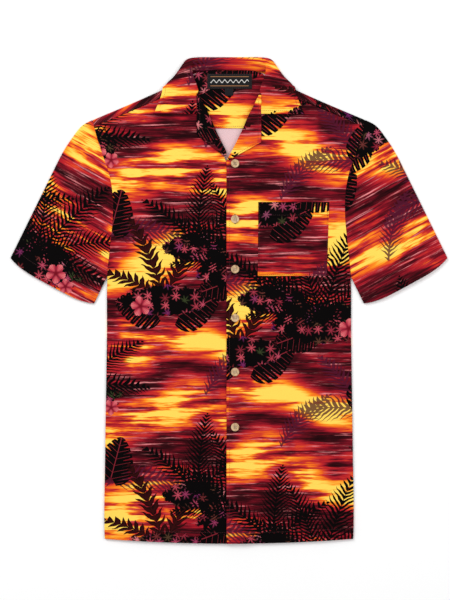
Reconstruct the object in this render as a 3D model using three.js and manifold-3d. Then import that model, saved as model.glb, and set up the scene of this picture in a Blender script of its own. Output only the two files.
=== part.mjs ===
// A man's short-sleeved camp-collar shirt, buttoned up and laid flat on its back.
// Millimetres: X runs across the shirt, Y from the hem up to the collar, and Z up from the surface.
// The wearer's left front, with the pocket, is at +X and laps over the right one.
import * as THREE from "three";
import { NURBSSurface } from "three/addons/curves/NURBSSurface.js";
import { mergeVertices } from "three/addons/utils/BufferGeometryUtils.js";
import Module from "manifold-3d";

const wasm = await Module();
wasm.setup();

// Cloth, seams and folds
const CLOTH = 1.2; // one ply with its finish
const TURNED = 0.7; // what a turned hem adds on the inside
const HEM_DEPTH = 20;
const SEAM = 0.3; // the gap between two pieces that are sewn together
const FOLD_RADIUS = 1.6; // from a fold's middle to the middle of its cloth
const LOFT = { rise: 1.6, reach: 55 }; // how much the upper layer rises away from the folds, and over what
const BACK_LEVEL = CLOTH / 2;

// Body
const HEM = { y: -413, rise: 8, curveReach: 90 };
const PLAIN_FROM_Y = -350; // above the hem and this, a panel's rows lie further apart
const UNDERARM_Y = 40;
const UNDERARM_RUN = 8; // over which the side goes from a fold to an open edge, up and down
const YOKE_SEAM_Y = 292.4;
// Half the body's width: the side seam up to the underarm, then the armhole seam
const SIDE = [
  { y: -413, x: 210.5 },
  { y: -396, x: 211.5 },
  { y: -250, x: 210.3 },
  { y: -60, x: 207.5 },
  { y: 40, x: 206.5 },
  { y: 89, x: 202 },
  { y: 140, x: 197.2 },
  { y: 179, x: 197.5 },
  { y: 213, x: 203 },
  { y: 247, x: 214.5 },
  { y: 276, x: 224 },
  { y: 306, x: 232 },
];
// The shoulder's outermost line, where the yoke turns over to the front
const SHOULDER_FOLD = [
  { x: 72, y: 376 },
  { x: 108, y: 359.5 },
  { x: 170, y: 332.2 },
  { x: 232, y: 306 },
];
// The seam between the yoke and a front, a little way down the front
const SHOULDER_SEAM = [
  { x: 70, y: 364 },
  { x: 126, y: 338.5 },
  { x: 232, y: 295.5 },
];
const BACK_NECK = [
  { x: 0, y: 390 },
  { x: 46, y: 388.6 },
  { x: 60, y: 385 },
  { x: 72, y: 376 },
];

// Front opening
const FRONT_EDGE_X = -4; // the left front's edge, which shows
// The right front goes on under the left one, which comes down beside it and above it over a run
const LAP = { edgeX: 22, top: 200, over: CLOTH + TURNED + SEAM, run: 22, endY: 270 };
// Where the lapels turn over: half the opening at each height
const ROLL = [
  { y: 238, x: -4 },
  { y: 244.8, x: 0 },
  { y: 292.4, x: 24 },
  { y: 308.9, x: 30.8 },
  { y: 331.3, x: 42.3 },
  { y: 348.5, x: 50.5 },
];
const GORGE = { x: 54.4, top: 348.5 };
const LAPEL = { ply: 1.8, tuck: 1.5, settle: 17, ease: 0.8, topGap: 1.2 };
// The left lapel lies on top. The right one starts a little higher, beside the left front's edge.
const LEFT_LAPEL = { bottom: 239, cornerY: 268.5, leastRoll: ROLL[0].x };
const RIGHT_LAPEL = { bottom: 245.5, cornerY: 280, leastRoll: 4.6 };
const ROLL_RADIUS = { low: 1.25, high: 2.9, from: 270 };

// Collar, two plies with interlining
const COLLAR_PLY = 2;
const COLLAR_FALL_Y = 356; // how far down the fall reaches under the yoke
const COLLAR_FALL_X = 108; // and how far out
// What lies on the fall comes down beside it over a run, which starts a lead below its edge
const COLLAR_LIFT = { over: COLLAR_PLY + 2 * SEAM, run: 45, lead: 2 };
const COLLAR_STEPS = { across: 12, along: 44 };

// Sleeve
const CUFF_OUTER = { x: 371, y: 72.3 };
const CUFF_INNER = { x: 228.8, y: -5 };
const CUFF_BOW = 9.2;
const SLEEVE_TOP = [
  { x: 249, y: 297 },
  { x: 264, y: 279 },
  { x: 283.4, y: 249 },
  { x: 311, y: 194 },
  { x: CUFF_OUTER.x, y: CUFF_OUTER.y },
];

// Pocket, labels and buttons
const POCKET = { left: 50.2, right: 169.8, taper: 4, top: 166.6, bottom: 41.7, ply: 1 };
const POCKET_HEM = { depth: 24, ply: 0.5 };
const FACING = { ply: 1, inset: 7 };
const LABEL = { left: -36.9, right: 38.9, taper: 0, top: 384.3, bottom: 359.2, ply: 0.6 };
const SIZE_TAB = { left: -7, right: 7, taper: 0, top: LABEL.bottom - SEAM, bottom: 347.5, ply: 0.6 };
const BUTTON = { x: 10.3, radius: 7, thickness: 2.6, rim: 0.5, wellDepth: 0.5, wellRadius: 4.8, sides: 20 };
const BUTTON_HOLE = { radius: 0.9, offset: 1.6, sides: 8 };
const BUTTON_HEIGHTS = [232, 137.7, 52.7, -29.8, -121.6, -215.1];

const COLOURS = { print: 0x5a0c14, reverse: 0x9c6a68, button: 0xcdb98f, label: 0x1d1a1c };

const { lerp, clamp, smoothstep } = THREE.MathUtils;
const steps = (count) => Array.from({ length: count + 1 }, (_, i) => i / count);
const spread = (low, high, count) => steps(count).map((t) => lerp(low, high, t));
const mirroredList = (values) => values.map((value) => -value).reverse();

// A table's column at a place along its key column, on a smooth curve through the rows.
function read(table, key, column, at) {
  const last = table.length - 2;
  const slope = (a, b) => (table[b][column] - table[a][column]) / (table[b][key] - table[a][key]);
  let i = 0;
  while (i < last && at > table[i + 1][key]) i += 1;
  const here = slope(i, i + 1);
  const before = i > 0 ? (slope(i - 1, i) + here) / 2 : here;
  const after = i < last ? (here + slope(i + 1, i + 2)) / 2 : here;
  const span = table[i + 1][key] - table[i][key];
  const t = clamp((at - table[i][key]) / span, 0, 1);
  const curve = (1 - t) ** 2 * (before * t * span) - t ** 2 * (after * (1 - t) * span);
  return lerp(table[i][column], table[i + 1][column], t * t * (3 - 2 * t)) + curve;
}

const halfWidth = (y) => read(SIDE, "y", "x", y);
const shoulderFold = (x) => read(SHOULDER_FOLD, "x", "y", x);
const shoulderSeam = (x) => read(SHOULDER_SEAM, "x", "y", x);
const backNeck = (x) => read(BACK_NECK, "x", "y", x);
const rollLine = (y) => read(ROLL, "y", "x", y);
const hemLine = (x) => HEM.y + HEM.rise * (x / SIDE[0].x) ** 2;

// The folds that join the two layers, as lines in plan on the +X side.
const FOLDS = [
  [...SHOULDER_FOLD, ...SLEEVE_TOP],
  [SIDE[0], SIDE[4], CUFF_INNER],
].map((line) => line.map(({ x, y }) => new THREE.Vector3(x, y, 0)));

function distanceToFolds(x, y) {
  const here = new THREE.Vector3(Math.abs(x), y, 0);
  const nearest = new THREE.Vector3();
  const stretch = new THREE.Line3();
  const distances = FOLDS.flatMap((line) =>
    line.slice(1).map((end, i) => {
      stretch.set(line[i], end).closestPointToPoint(here, true, nearest);
      return nearest.distanceTo(here);
    }),
  );
  return Math.min(...distances);
}

// How far the collar's fall lifts the yoke and what lies on it.
function collarLift(x, y) {
  const { over, run, lead } = COLLAR_LIFT;
  const along = smoothstep(y, COLLAR_FALL_Y - lead - run, COLLAR_FALL_Y - lead);
  const across = smoothstep(-Math.abs(x), -COLLAR_FALL_X - run, -COLLAR_FALL_X);
  return over * along * across;
}

// The height of each layer's middle over the surface.
const backLevel = (x, y) => BACK_LEVEL + collarLift(x, y);
const frontLevel = (x, y) =>
  backLevel(x, y) + 2 * FOLD_RADIUS + LOFT.rise * smoothstep(distanceToFolds(x, y), 0, LOFT.reach);
function lapLevel(x, y) {
  const beside = 1 - smoothstep(x, LAP.edgeX + 2, LAP.edgeX + 2 + LAP.run);
  const below = 1 - smoothstep(y, LAP.endY - 2 * LAP.run, LAP.endY);
  return frontLevel(x, y) + LAP.over * beside * below;
}
const facingLevel = (x, y) => backLevel(x, y) + CLOTH / 2 + SEAM + FACING.ply / 2;
const onLevel = (level, ply, piecePly) => (x, y) => level(x, y) + ply / 2 + SEAM + piecePly / 2;

// One point in the middle of a cloth wall, with what the wall has on its face side and its back side.
const cloth = (x, y, z, face = CLOTH / 2, back = face) => ({ at: new THREE.Vector3(x, y, z), face, back });

// A closed wall from patches of points in rows. Its face is the side that a row's direction crossed
// with the direction from row to row points to, or the other one if flipped. Points that coincide join.
function wall(patches, { ring = false, flip = false } = {}) {
  const points = [];
  const found = new Map();
  const indexOf = (point) => {
    const key = point.at.toArray().map((value) => Math.round(value * 1000)).join();
    if (!found.has(key)) {
      found.set(key, points.length);
      points.push({ ...point, normal: new THREE.Vector3() });
    }
    return found.get(key);
  };

  const quads = patches.flatMap((rows) => {
    const ids = rows.map((row) => row.map(indexOf));
    return ids.slice(1).flatMap((upper, i) =>
      upper.slice(ring ? 0 : 1).map((_, j) => {
        const k = (j + 1) % upper.length;
        const quad = [ids[i][j], ids[i][k], upper[k], upper[j]];
        return flip ? quad.reverse() : quad;
      }),
    );
  });

  const [across, along] = [new THREE.Vector3(), new THREE.Vector3()];
  const edges = new Set();
  for (const quad of quads) {
    const [a, b, c, d] = quad.map((id) => points[id].at);
    const normal = across.subVectors(c, a).cross(along.subVectors(d, b)).clone();
    quad.forEach((id, i) => {
      points[id].normal.add(normal);
      edges.add([id, quad[(i + 1) % 4]].join());
    });
  }

  const count = points.length;
  const position = new Float32Array(count * 6);
  points.forEach(({ at, normal, face, back }, i) => {
    normal.normalize();
    at.clone().addScaledVector(normal, face).toArray(position, i * 3);
    at.clone().addScaledVector(normal, -back).toArray(position, (count + i) * 3);
  });
  const index = quads.flatMap((quad) => {
    const [a, b, c, d] = quad;
    const sides = [a, b, c, a, c, d, count + a, count + c, count + b, count + a, count + d, count + c];
    const rim = quad.flatMap((from, i) => {
      const to = quad[(i + 1) % 4];
      const shared = edges.has([to, from].join());
      return shared ? [] : [to, from, count + from, to, count + from, count + to];
    });
    return [...sides, ...rim];
  });
  const geometry = new THREE.BufferGeometry();
  geometry.setAttribute("position", new THREE.BufferAttribute(position, 3));
  geometry.setIndex(index);
  return geometry;
}

// The same shape on the other side of the shirt, with its faces still pointing out.
function mirrored(geometry) {
  const { array } = geometry.index;
  geometry.scale(-1, 1, 1);
  geometry.setIndex(Array.from(array, (_, i) => array[i - (i % 3) + (2 - (i % 3))]));
  return geometry;
}

// How far a round fold has turned in at a distance inside its outermost line. Two pieces that meet
// halfway round it stay a seam apart.
function foldDrop(inside) {
  const outwards = clamp(FOLD_RADIUS - inside, 0, FOLD_RADIUS);
  return FOLD_RADIUS - Math.sqrt(FOLD_RADIUS ** 2 - outwards ** 2);
}
const seamDrop = (inside) => Math.min(foldDrop(inside), FOLD_RADIUS - SEAM);
const FOLD_INSETS = [1, 0.3, 0.06, 0].map((share) => share * FOLD_RADIUS);

// The side seam lies in a fold below the underarm and has an open edge above it.
const inFold = (y) => smoothstep(-y, -UNDERARM_Y - UNDERARM_RUN, -UNDERARM_Y + UNDERARM_RUN);
const sideReach = (y) => halfWidth(y) - lerp(SEAM / 2, CLOTH / 2, inFold(y));
const sideDrop = (x, y) => seamDrop(sideReach(y) - Math.abs(x)) * inFold(y);
function hemPly(fromHem, drop = 0) {
  const deep = 1 - smoothstep(fromHem, HEM_DEPTH - 1, HEM_DEPTH);
  const flat = 1 - smoothstep(drop, 0, FOLD_RADIUS / 2);
  return CLOTH / 2 + TURNED * deep * flat;
}
const HEM_ROWS = [0, HEM_DEPTH - 1, HEM_DEPTH];

// Places across a panel from an inner one to the side, closer together in the fold.
const toSide = (inner, reach, count) => [
  ...spread(inner, reach - FOLD_INSETS[0], count),
  ...FOLD_INSETS.slice(1).map((inset) => reach - inset),
];

function backPanel() {
  const heights = [
    ...HEM_ROWS.map((depth) => HEM.y + depth),
    ...spread(PLAIN_FROM_Y, UNDERARM_Y - 60, 5),
    ...spread(UNDERARM_Y - 20, UNDERARM_Y + 20, 3),
    ...spread(UNDERARM_Y + 55, YOKE_SEAM_Y - SEAM, 6),
  ];
  const rows = heights.map((height) => {
    const half = toSide(0, sideReach(height), 7);
    return [...mirroredList(half.slice(1)), ...half].map((x) => {
      const rise = (hemLine(x) - HEM.y) * (1 - smoothstep(height, HEM.y, HEM.y + HEM.curveReach));
      const turn = sideDrop(x, height);
      return cloth(x, height + rise, BACK_LEVEL + turn, CLOTH / 2, hemPly(height - HEM.y, turn));
    });
  });
  return wall([rows], { flip: true });
}

const BESIDE_OPENING = [0, 14, 28];
const LAPEL_ROW_GAP = 11;

// A front on the +X side, with its inner edge at each height and the level that it lies on.
function frontPanel(heights, innerEdge, levelAt) {
  const innerTop = SHOULDER_SEAM[0];
  const bottomSpan = [innerEdge(HEM.y), sideReach(HEM.y)];
  const topSpan = [innerTop.x, SHOULDER_SEAM.at(-1).x];
  const rows = heights.map((height) => {
    const share = (height - HEM.y) / (innerTop.y - SEAM - HEM.y);
    const heightAt = (part) =>
      lerp(hemLine(lerp(...bottomSpan, part)), shoulderSeam(lerp(...topSpan, part)) - SEAM, share);
    const inner = innerEdge(height);
    const sideY = heightAt(1);
    const reach = sideReach(sideY);
    const beside = BESIDE_OPENING.map((distance) => inner + distance);
    const places = [...beside, ...toSide(inner + LAP.edgeX + LAP.run, reach, 6)];
    return places.map((x) => {
      const y = heightAt((x - inner) / (reach - inner));
      const turn = sideDrop(x, sideY);
      return cloth(x, y, levelAt(x, y) - turn, CLOTH / 2, hemPly(height - HEM.y, turn));
    });
  });
  return wall([rows]);
}

const rollRadius = (y) => lerp(ROLL_RADIUS.low, ROLL_RADIUS.high, smoothstep(y, ROLL_RADIUS.from, GORGE.top));

// A front ends beside the roll, where the lapel's cloth goes on, and then at the neck seam.
const lapelRoll = (y, { leastRoll }) => Math.max(rollLine(y), leastRoll);
function openingEdge(y, side) {
  const rollY = Math.min(y, GORGE.top);
  const beside = lapelRoll(rollY, side) + rollRadius(rollY) + LAPEL.tuck + LAPEL.ply / 2 + SEAM;
  return lerp(beside, SHOULDER_SEAM[0].x, clamp((y - GORGE.top) / (SHOULDER_SEAM[0].y - GORGE.top), 0, 1));
}
const leftEdge = (y) => (y < LEFT_LAPEL.bottom ? FRONT_EDGE_X : openingEdge(y, LEFT_LAPEL));
function rightEdge(y) {
  const { bottom } = RIGHT_LAPEL;
  if (y >= bottom) return openingEdge(y, RIGHT_LAPEL);
  return lerp(-LAP.edgeX, openingEdge(bottom, RIGHT_LAPEL), smoothstep(y, LAP.top, bottom));
}

function lapelHeights({ bottom, cornerY }, top) {
  const above = spread(cornerY + LAPEL_ROW_GAP, GORGE.top - LAPEL_ROW_GAP, 5);
  return [...spread(bottom, cornerY, 4), ...above, top];
}
const frontHeights = (side) => [
  ...HEM_ROWS.map((depth) => HEM.y + depth),
  ...spread(PLAIN_FROM_Y, LAP.top - 10, 9),
  ...spread(LAP.top, side.bottom - SEAM, 2),
  ...lapelHeights(side, GORGE.top),
  ...spread(GORGE.top + 4.5, SHOULDER_SEAM[0].y - SEAM, 2),
];
const leftFront = () => frontPanel(frontHeights(LEFT_LAPEL), leftEdge, lapLevel);
const rightFront = () => mirrored(frontPanel(frontHeights(RIGHT_LAPEL), rightEdge, frontLevel));

function lapelOuter(y, { cornerY }) {
  const share = (y - LEFT_LAPEL.bottom) / (cornerY - LEFT_LAPEL.bottom);
  return lerp(FRONT_EDGE_X + 5, GORGE.x, Math.min(share, 1));
}

// A lapel starts beside the front's edge, turns over the roll and lies on the front.
function lapel(side, levelAt) {
  const rest = onLevel(levelAt, CLOTH, LAPEL.ply + LAPEL.ease);
  const rows = lapelHeights(side, GORGE.top - LAPEL.topGap).map((y) => {
    const radius = rollRadius(y);
    const middle = lapelRoll(y, side) + LAPEL.ply / 2 + radius;
    const low = levelAt(middle, y) + (LAPEL.ply - CLOTH) / 2;
    const place = (x, z) => cloth(x, y, z, LAPEL.ply / 2);
    const turn = spread(0, Math.PI, 5).map((angle) =>
      place(middle - radius * Math.sin(angle), low + radius * (1 - Math.cos(angle))),
    );
    const flat = spread(middle, lapelOuter(y, side), 5).slice(1).map((x) =>
      place(x, lerp(low + 2 * radius, rest(x, y), smoothstep(x - middle, 0, LAPEL.settle))),
    );
    return [place(middle + LAPEL.tuck, low), ...turn, ...flat];
  });
  return wall([rows]);
}
const leftLapel = () => lapel(LEFT_LAPEL, lapLevel);
const rightLapel = () => mirrored(lapel(RIGHT_LAPEL, frontLevel));

// Places across the yoke, from its middle to the shoulder's end. Beyond the neck they spread so that the
// last one follows the armhole.
const NECK_SIDE = SHOULDER_FOLD[0].x;
const SHOULDER_END = SHOULDER_FOLD.at(-1).x;
const SHOULDER_PLACES = spread(NECK_SIDE, SHOULDER_END, 8);
const YOKE_PLACES = [...spread(0, NECK_SIDE, 5), ...SHOULDER_PLACES.slice(1)];
const YOKE_ROWS = [0, 0.2, 0.38, 0.54, 0.7, 0.85, 1];
function acrossShoulder(place, y, gap = SEAM / 2) {
  const size = Math.abs(place);
  const beyond = Math.max(0, size - NECK_SIDE) / (SHOULDER_END - NECK_SIDE);
  return Math.sign(place) * lerp(Math.min(size, NECK_SIDE), halfWidth(y) - gap, beyond);
}

// Half of the fold over the shoulder, seen from above, is a little wider where it runs at a slant.
const SLANT = Math.cos(Math.atan2(SHOULDER_FOLD[0].y - SHOULDER_FOLD.at(-1).y, SHOULDER_END - NECK_SIDE));
const foldMiddle = (x) => shoulderFold(x) - (CLOTH / 2 + FOLD_RADIUS) / SLANT;
function yokeTop(size) {
  if (size >= NECK_SIDE) return foldMiddle(size);
  return backNeck(size) - (backNeck(NECK_SIDE) - foldMiddle(NECK_SIDE)) * (size / NECK_SIDE) ** 4;
}

// The yoke covers the upper back and turns over each shoulder to its seam with the front.
function yoke() {
  const at = (place, y, z) => cloth(acrossShoulder(place, y), y, z);
  const back = YOKE_ROWS.map((way) =>
    [...mirroredList(YOKE_PLACES.slice(1)), ...YOKE_PLACES].map((place) => {
      const y = lerp(YOKE_SEAM_Y, yokeTop(Math.abs(place)), way);
      return at(place, y, backLevel(acrossShoulder(place, y), y));
    }),
  );
  const strip = (places) => {
    const turned = spread(0, Math.PI, 4).map((angle) =>
      places.map((place) => {
        const y = foldMiddle(Math.abs(place));
        const level = backLevel(acrossShoulder(place, y), y) + FOLD_RADIUS * (1 - Math.cos(angle));
        return at(place, y + (FOLD_RADIUS / SLANT) * Math.sin(angle), level);
      }),
    );
    const flat = [0.5, 1].map((way) =>
      places.map((place) => {
        const y = lerp(foldMiddle(Math.abs(place)), shoulderSeam(Math.abs(place)), way);
        return at(place, y, frontLevel(acrossShoulder(place, y), y));
      }),
    );
    return [...turned, ...flat];
  };
  return wall([back, strip(SHOULDER_PLACES), strip(mirroredList(SHOULDER_PLACES))], { flip: true });
}

// The yoke's inner ply, which shows through the neck opening. It stops short of the folds.
function yokeFacing() {
  const rows = YOKE_ROWS.map((way) =>
    [...mirroredList(YOKE_PLACES.slice(1)), ...YOKE_PLACES].map((place) => {
      const size = Math.abs(place);
      const short = FACING.inset * smoothstep(size, NECK_SIDE - 20, NECK_SIDE);
      const y = lerp(YOKE_SEAM_Y, yokeTop(size) - short, way);
      const x = clamp(acrossShoulder(place, y), FACING.inset - halfWidth(y), halfWidth(y) - FACING.inset);
      return cloth(x, y, facingLevel(x, y), FACING.ply / 2);
    }),
  );
  return wall([rows]);
}

// A piece sewn flat onto what is under it, tapering towards its right edge's foot.
function applied({ left, right, taper, top, bottom, ply }, levelAt, columns, rowCount, extra = () => 0) {
  const rows = spread(bottom, top, rowCount).map((y) => {
    const share = (top - y) / (top - bottom);
    return spread(left - (taper / 4) * share, right - taper * share, columns).map((x) =>
      cloth(x, y, levelAt(x, y), ply / 2 + extra(y), ply / 2),
    );
  });
  return wall([rows]);
}

const pocket = () =>
  applied(POCKET, onLevel(lapLevel, CLOTH, POCKET.ply), 6, 11, (y) =>
    POCKET_HEM.ply * smoothstep(y, POCKET.top - POCKET_HEM.depth - 1, POCKET.top - POCKET_HEM.depth),
  );
const label = () => applied(LABEL, onLevel(facingLevel, FACING.ply, LABEL.ply), 8, 3);
const sizeTab = () => applied(SIZE_TAB, onLevel(facingLevel, FACING.ply, SIZE_TAB.ply), 3, 2);

// A sleeve is a tube pressed flat, built as rings from the armhole to the cuff. In plan it fills the shape
// between its four edges: part runs from the top fold to the under one, and way from armhole to cuff.
function sleeve() {
  // The underarm's fold runs at a slant, so its cloth needs more room there.
  const armhole = (part) => {
    const y = lerp(SHOULDER_FOLD.at(-1).y, UNDERARM_Y, part);
    return new THREE.Vector2(halfWidth(y) + SEAM + (CLOTH / 2) * part ** 8, y);
  };
  const chord = new THREE.Vector2().subVectors(CUFF_OUTER, CUFF_INNER);
  const outwards = new THREE.Vector2(chord.y, -chord.x).normalize();
  const cuff = (part) =>
    new THREE.Vector2()
      .lerpVectors(CUFF_OUTER, CUFF_INNER, part)
      .addScaledVector(outwards, CUFF_BOW * (1 - (2 * part - 1) ** 4));
  const topPoints = SLEEVE_TOP.map(({ x, y }) => new THREE.Vector2(x, y));
  const topLine = new THREE.SplineCurve([armhole(0), ...topPoints]);
  const underLine = new THREE.LineCurve(armhole(1), cuff(1));
  const plan = (part, way) => {
    const point = new THREE.Vector2();
    point.addScaledVector(armhole(part), 1 - way).addScaledVector(cuff(part), way);
    point.addScaledVector(topLine.getPointAt(way), 1 - part).addScaledVector(underLine.getPoint(way), part);
    point.addScaledVector(armhole(0), (part - 1) * (1 - way)).addScaledVector(armhole(1), -part * (1 - way));
    return point.addScaledVector(cuff(0), (part - 1) * way).addScaledVector(cuff(1), -part * way);
  };

  const length = topLine.getLength();
  const hemWays = HEM_ROWS.map((depth) => 1 - depth / length).reverse();
  const ways = [...spread(0, 0.2, 4), ...spread(0.3, 0.84, 5), ...hemWays];
  const rows = ways.map((way) => {
    const width = plan(0, way).distanceTo(plan(1, way));
    const partAt = (inset) => (CLOTH / 2 + inset) / width;
    const near = [0.3, 1].map((share) => ({ part: partAt(share * FOLD_RADIUS), inset: share * FOLD_RADIUS }));
    const middle = spread(near[1].part, 1 - near[1].part, 7).slice(1, -1);
    const places = [
      ...near,
      ...middle.map((part) => ({ part, inset: FOLD_RADIUS })),
      ...near.map(({ part, inset }) => ({ part: 1 - part, inset })).reverse(),
    ];
    const place = (part, height) => {
      const { x, y } = plan(part, way);
      return cloth(x, y, height(x, y), CLOTH / 2, hemPly(length * (1 - way)));
    };
    const upper = places.map(({ part, inset }) => place(part, (x, y) => frontLevel(x, y) - foldDrop(inset)));
    const lower = places.map(({ part, inset }) => place(part, () => BACK_LEVEL + foldDrop(inset)));
    const fold = (part) => place(part, () => BACK_LEVEL + FOLD_RADIUS);
    return [fold(partAt(0)), ...upper, fold(1 - partAt(0)), ...lower.reverse()];
  });
  return wall([rows], { ring: true });
}

// The collar's control net from the middle of the back round to its front end, on the +X side. Each row
// goes from the neck seam up the stand, over the roll and down the fall to the outer edge.
const onFront = (x, y, lift = 0) => [x, y, onLevel(frontLevel, CLOTH, COLLAR_PLY)(x, y) + 0.2 + lift];
const underYoke = (x, y) => [x, y, COLLAR_PLY / 2];
const COLLAR_NET = [
  {
    neck: [0, 391.4, 3.9], stand: [0, 402, 7.2], roll: [0, 411.8, 7.8],
    fold: [0, 411.8, 1], fall: underYoke(0, 400), edge: underYoke(0, COLLAR_FALL_Y),
  },
  {
    neck: [28, 391.3, 3.9], stand: [28, 401.5, 7.4], roll: [28, 411.8, 8],
    fold: [29, 411.8, 1], fall: underYoke(29, 400), edge: underYoke(29, COLLAR_FALL_Y),
  },
  {
    neck: [48, 390.4, 3.9], stand: [47, 400, 8.4], roll: [50, 412, 10],
    fold: [54, 412, 1.2], fall: underYoke(54, 400), edge: underYoke(48, COLLAR_FALL_Y),
  },
  {
    neck: [64, 388.4, 4.6], stand: [61.5, 397, 10.5], roll: [63, 407, 14.5],
    fold: [71, 411.5, 6.5], fall: underYoke(71, 409.5), edge: underYoke(64, COLLAR_FALL_Y),
  },
  {
    neck: [73, 383, 7.8], stand: [63.5, 386, 11], roll: [63.5, 389, 16.5],
    fold: [80, 397.5, 9.6], fall: underYoke(80, 397.5), edge: underYoke(76, COLLAR_FALL_Y),
  },
  {
    neck: [72, 371, 8.8], stand: [58.8, 373, 11], roll: [58.8, 374, 16.5],
    fold: [93, 378.5, 9.8], fall: underYoke(93, 378.5), edge: underYoke(89, COLLAR_FALL_Y + 0.5),
  },
  {
    neck: [67, 360, 8.8], stand: [54.8, 362, 11], roll: [54.8, 363, 15.5],
    fold: [104, 368, 10], fall: [106, 369, 1.8], edge: underYoke(103, 362.5),
  },
  {
    neck: [60, 352.5, 9], stand: [51.8, 353.5, 11], roll: [52, 354, 14.5],
    fold: [102, 360.5, 10.4], fall: [109, 363.5, 9.5], edge: [112, 363.5, 6.5],
  },
  {
    neck: [55.2, 348.4, 11], stand: [56, 348.4, 12.6], roll: [61, 348.4, 12.4],
    fold: [99, 352, 10], fall: [108, 352, 9.6], edge: [113, 352, 9.2],
  },
  {
    neck: [54.8, 338, 10.6], stand: onFront(60, 338, 1.2), roll: onFront(70, 339, 0.6),
    fold: onFront(97, 342, 0.2), fall: onFront(110, 342), edge: onFront(116.5, 342),
  },
  {
    neck: [54.8, 328, 9.8], stand: onFront(60, 328, 0.6), roll: onFront(71, 328.5, 0.3),
    fold: onFront(96, 330), fall: onFront(113, 330), edge: onFront(121.5, 329.5),
  },
  {
    neck: onFront(54.8, 316.9), stand: onFront(61, 316.9), roll: onFront(74, 316.9),
    fold: onFront(96, 316.8), fall: onFront(115, 316.7), edge: onFront(127.2, 316.6),
  },
];

function collar() {
  const lines = ["neck", "stand", "roll", "fold", "fall", "edge"];
  const half = (rows, side) => rows.map((row) => lines.map((line) => {
    const [x, y, z] = row[line];
    return new THREE.Vector4(side * x, y, z, 1);
  }));
  const net = [...half(COLLAR_NET.slice(1).reverse(), -1), ...half(COLLAR_NET, 1)];
  const degree = 2;
  const knots = (count) => [0, 0, ...spread(0, 1, count - degree), 1, 1];
  const surface = new NURBSSurface(degree, degree, knots(net.length), knots(lines.length), net);
  const rows = spread(0, 1, COLLAR_STEPS.across).map((v) =>
    spread(0, 1, COLLAR_STEPS.along).map((u) => {
      const at = new THREE.Vector3();
      surface.getPoint(u, v, at);
      return cloth(at.x, at.y, at.z, COLLAR_PLY / 2);
    }),
  );
  return wall([rows]);
}

// A solid for joining and cutting, and the mesh that it gives back.
function solidOf(geometry) {
  const bare = geometry.clone();
  bare.deleteAttribute("normal");
  bare.deleteAttribute("uv");
  const merged = mergeVertices(bare, 1e-4);
  const vertProperties = merged.attributes.position.array;
  const triVerts = Uint32Array.from(merged.index.array);
  return new wasm.Manifold(new wasm.Mesh({ numProp: 3, vertProperties, triVerts }));
}
function geometryOf(solid) {
  const { vertProperties, triVerts } = solid.getMesh();
  const geometry = new THREE.BufferGeometry();
  geometry.setAttribute("position", new THREE.BufferAttribute(vertProperties, 3));
  geometry.setIndex(new THREE.BufferAttribute(triVerts, 1));
  return geometry;
}

// A button has a rounded rim, a shallow well and four thread holes cut right through.
function button() {
  const { radius, thickness, rim, wellDepth, wellRadius } = BUTTON;
  const profile = [
    [0, 0],
    [radius - rim, 0],
    [radius, rim],
    [radius, thickness - rim],
    [radius - rim, thickness],
    [wellRadius + wellDepth, thickness],
    [wellRadius, thickness - wellDepth],
    [0, thickness - wellDepth],
  ].map(([r, z]) => new THREE.Vector2(r, z));
  const disc = new THREE.LatheGeometry(profile, BUTTON.sides).rotateX(Math.PI / 2);
  const { radius: bore, sides: boreSides } = BUTTON_HOLE;
  const hole = new THREE.CylinderGeometry(bore, bore, 3 * thickness, boreSides).rotateX(Math.PI / 2);
  const sides = [-BUTTON_HOLE.offset, BUTTON_HOLE.offset];
  const holes = sides.flatMap((x) => sides.map((y) => solidOf(hole.clone().translate(x, y, 0))));
  return geometryOf(holes.reduce((body, cut) => body.subtract(cut), solidOf(disc)));
}

const shirt = new THREE.Group();

function add(name, geometry, color, roughness = 0.85) {
  const mesh = new THREE.Mesh(geometry, new THREE.MeshStandardMaterial({ color, roughness }));
  mesh.name = name;
  shirt.add(mesh);
  return mesh;
}

add("back", backPanel(), COLOURS.reverse);
add("yoke", yoke(), COLOURS.print);
add("yoke_facing", yokeFacing(), COLOURS.print);
add("right_front", rightFront(), COLOURS.print);
add("left_front", leftFront(), COLOURS.print);
add("right_lapel", rightLapel(), COLOURS.print);
add("left_lapel", leftLapel(), COLOURS.print);
add("collar", collar(), COLOURS.print);
add("left_sleeve", sleeve(), COLOURS.print);
add("right_sleeve", mirrored(sleeve()), COLOURS.print);
add("pocket", pocket(), COLOURS.print);
add("label", label(), COLOURS.label);
add("size_tab", sizeTab(), COLOURS.label);

const buttonGeometry = button();
BUTTON_HEIGHTS.forEach((y, i) => {
  const mesh = add(`button_${i + 1}`, buttonGeometry, COLOURS.button, 0.35);
  mesh.position.set(BUTTON.x, y, lapLevel(BUTTON.x, y) + CLOTH / 2 + SEAM);
});

export default shirt;
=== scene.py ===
"""The looks of a short-sleeved camp-collar shirt, buttoned up and laid flat on its back.

Places on the shirt are in millimetres, as on a paper pattern: X runs across towards the wearer's left
sleeve, Y from the hem up to the collar, and Z up from the surface. Meshes are written in metres.
"""

import logging
import math
from collections.abc import Callable, Sequence
from dataclasses import dataclass, field
from enum import Enum
from functools import reduce

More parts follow.
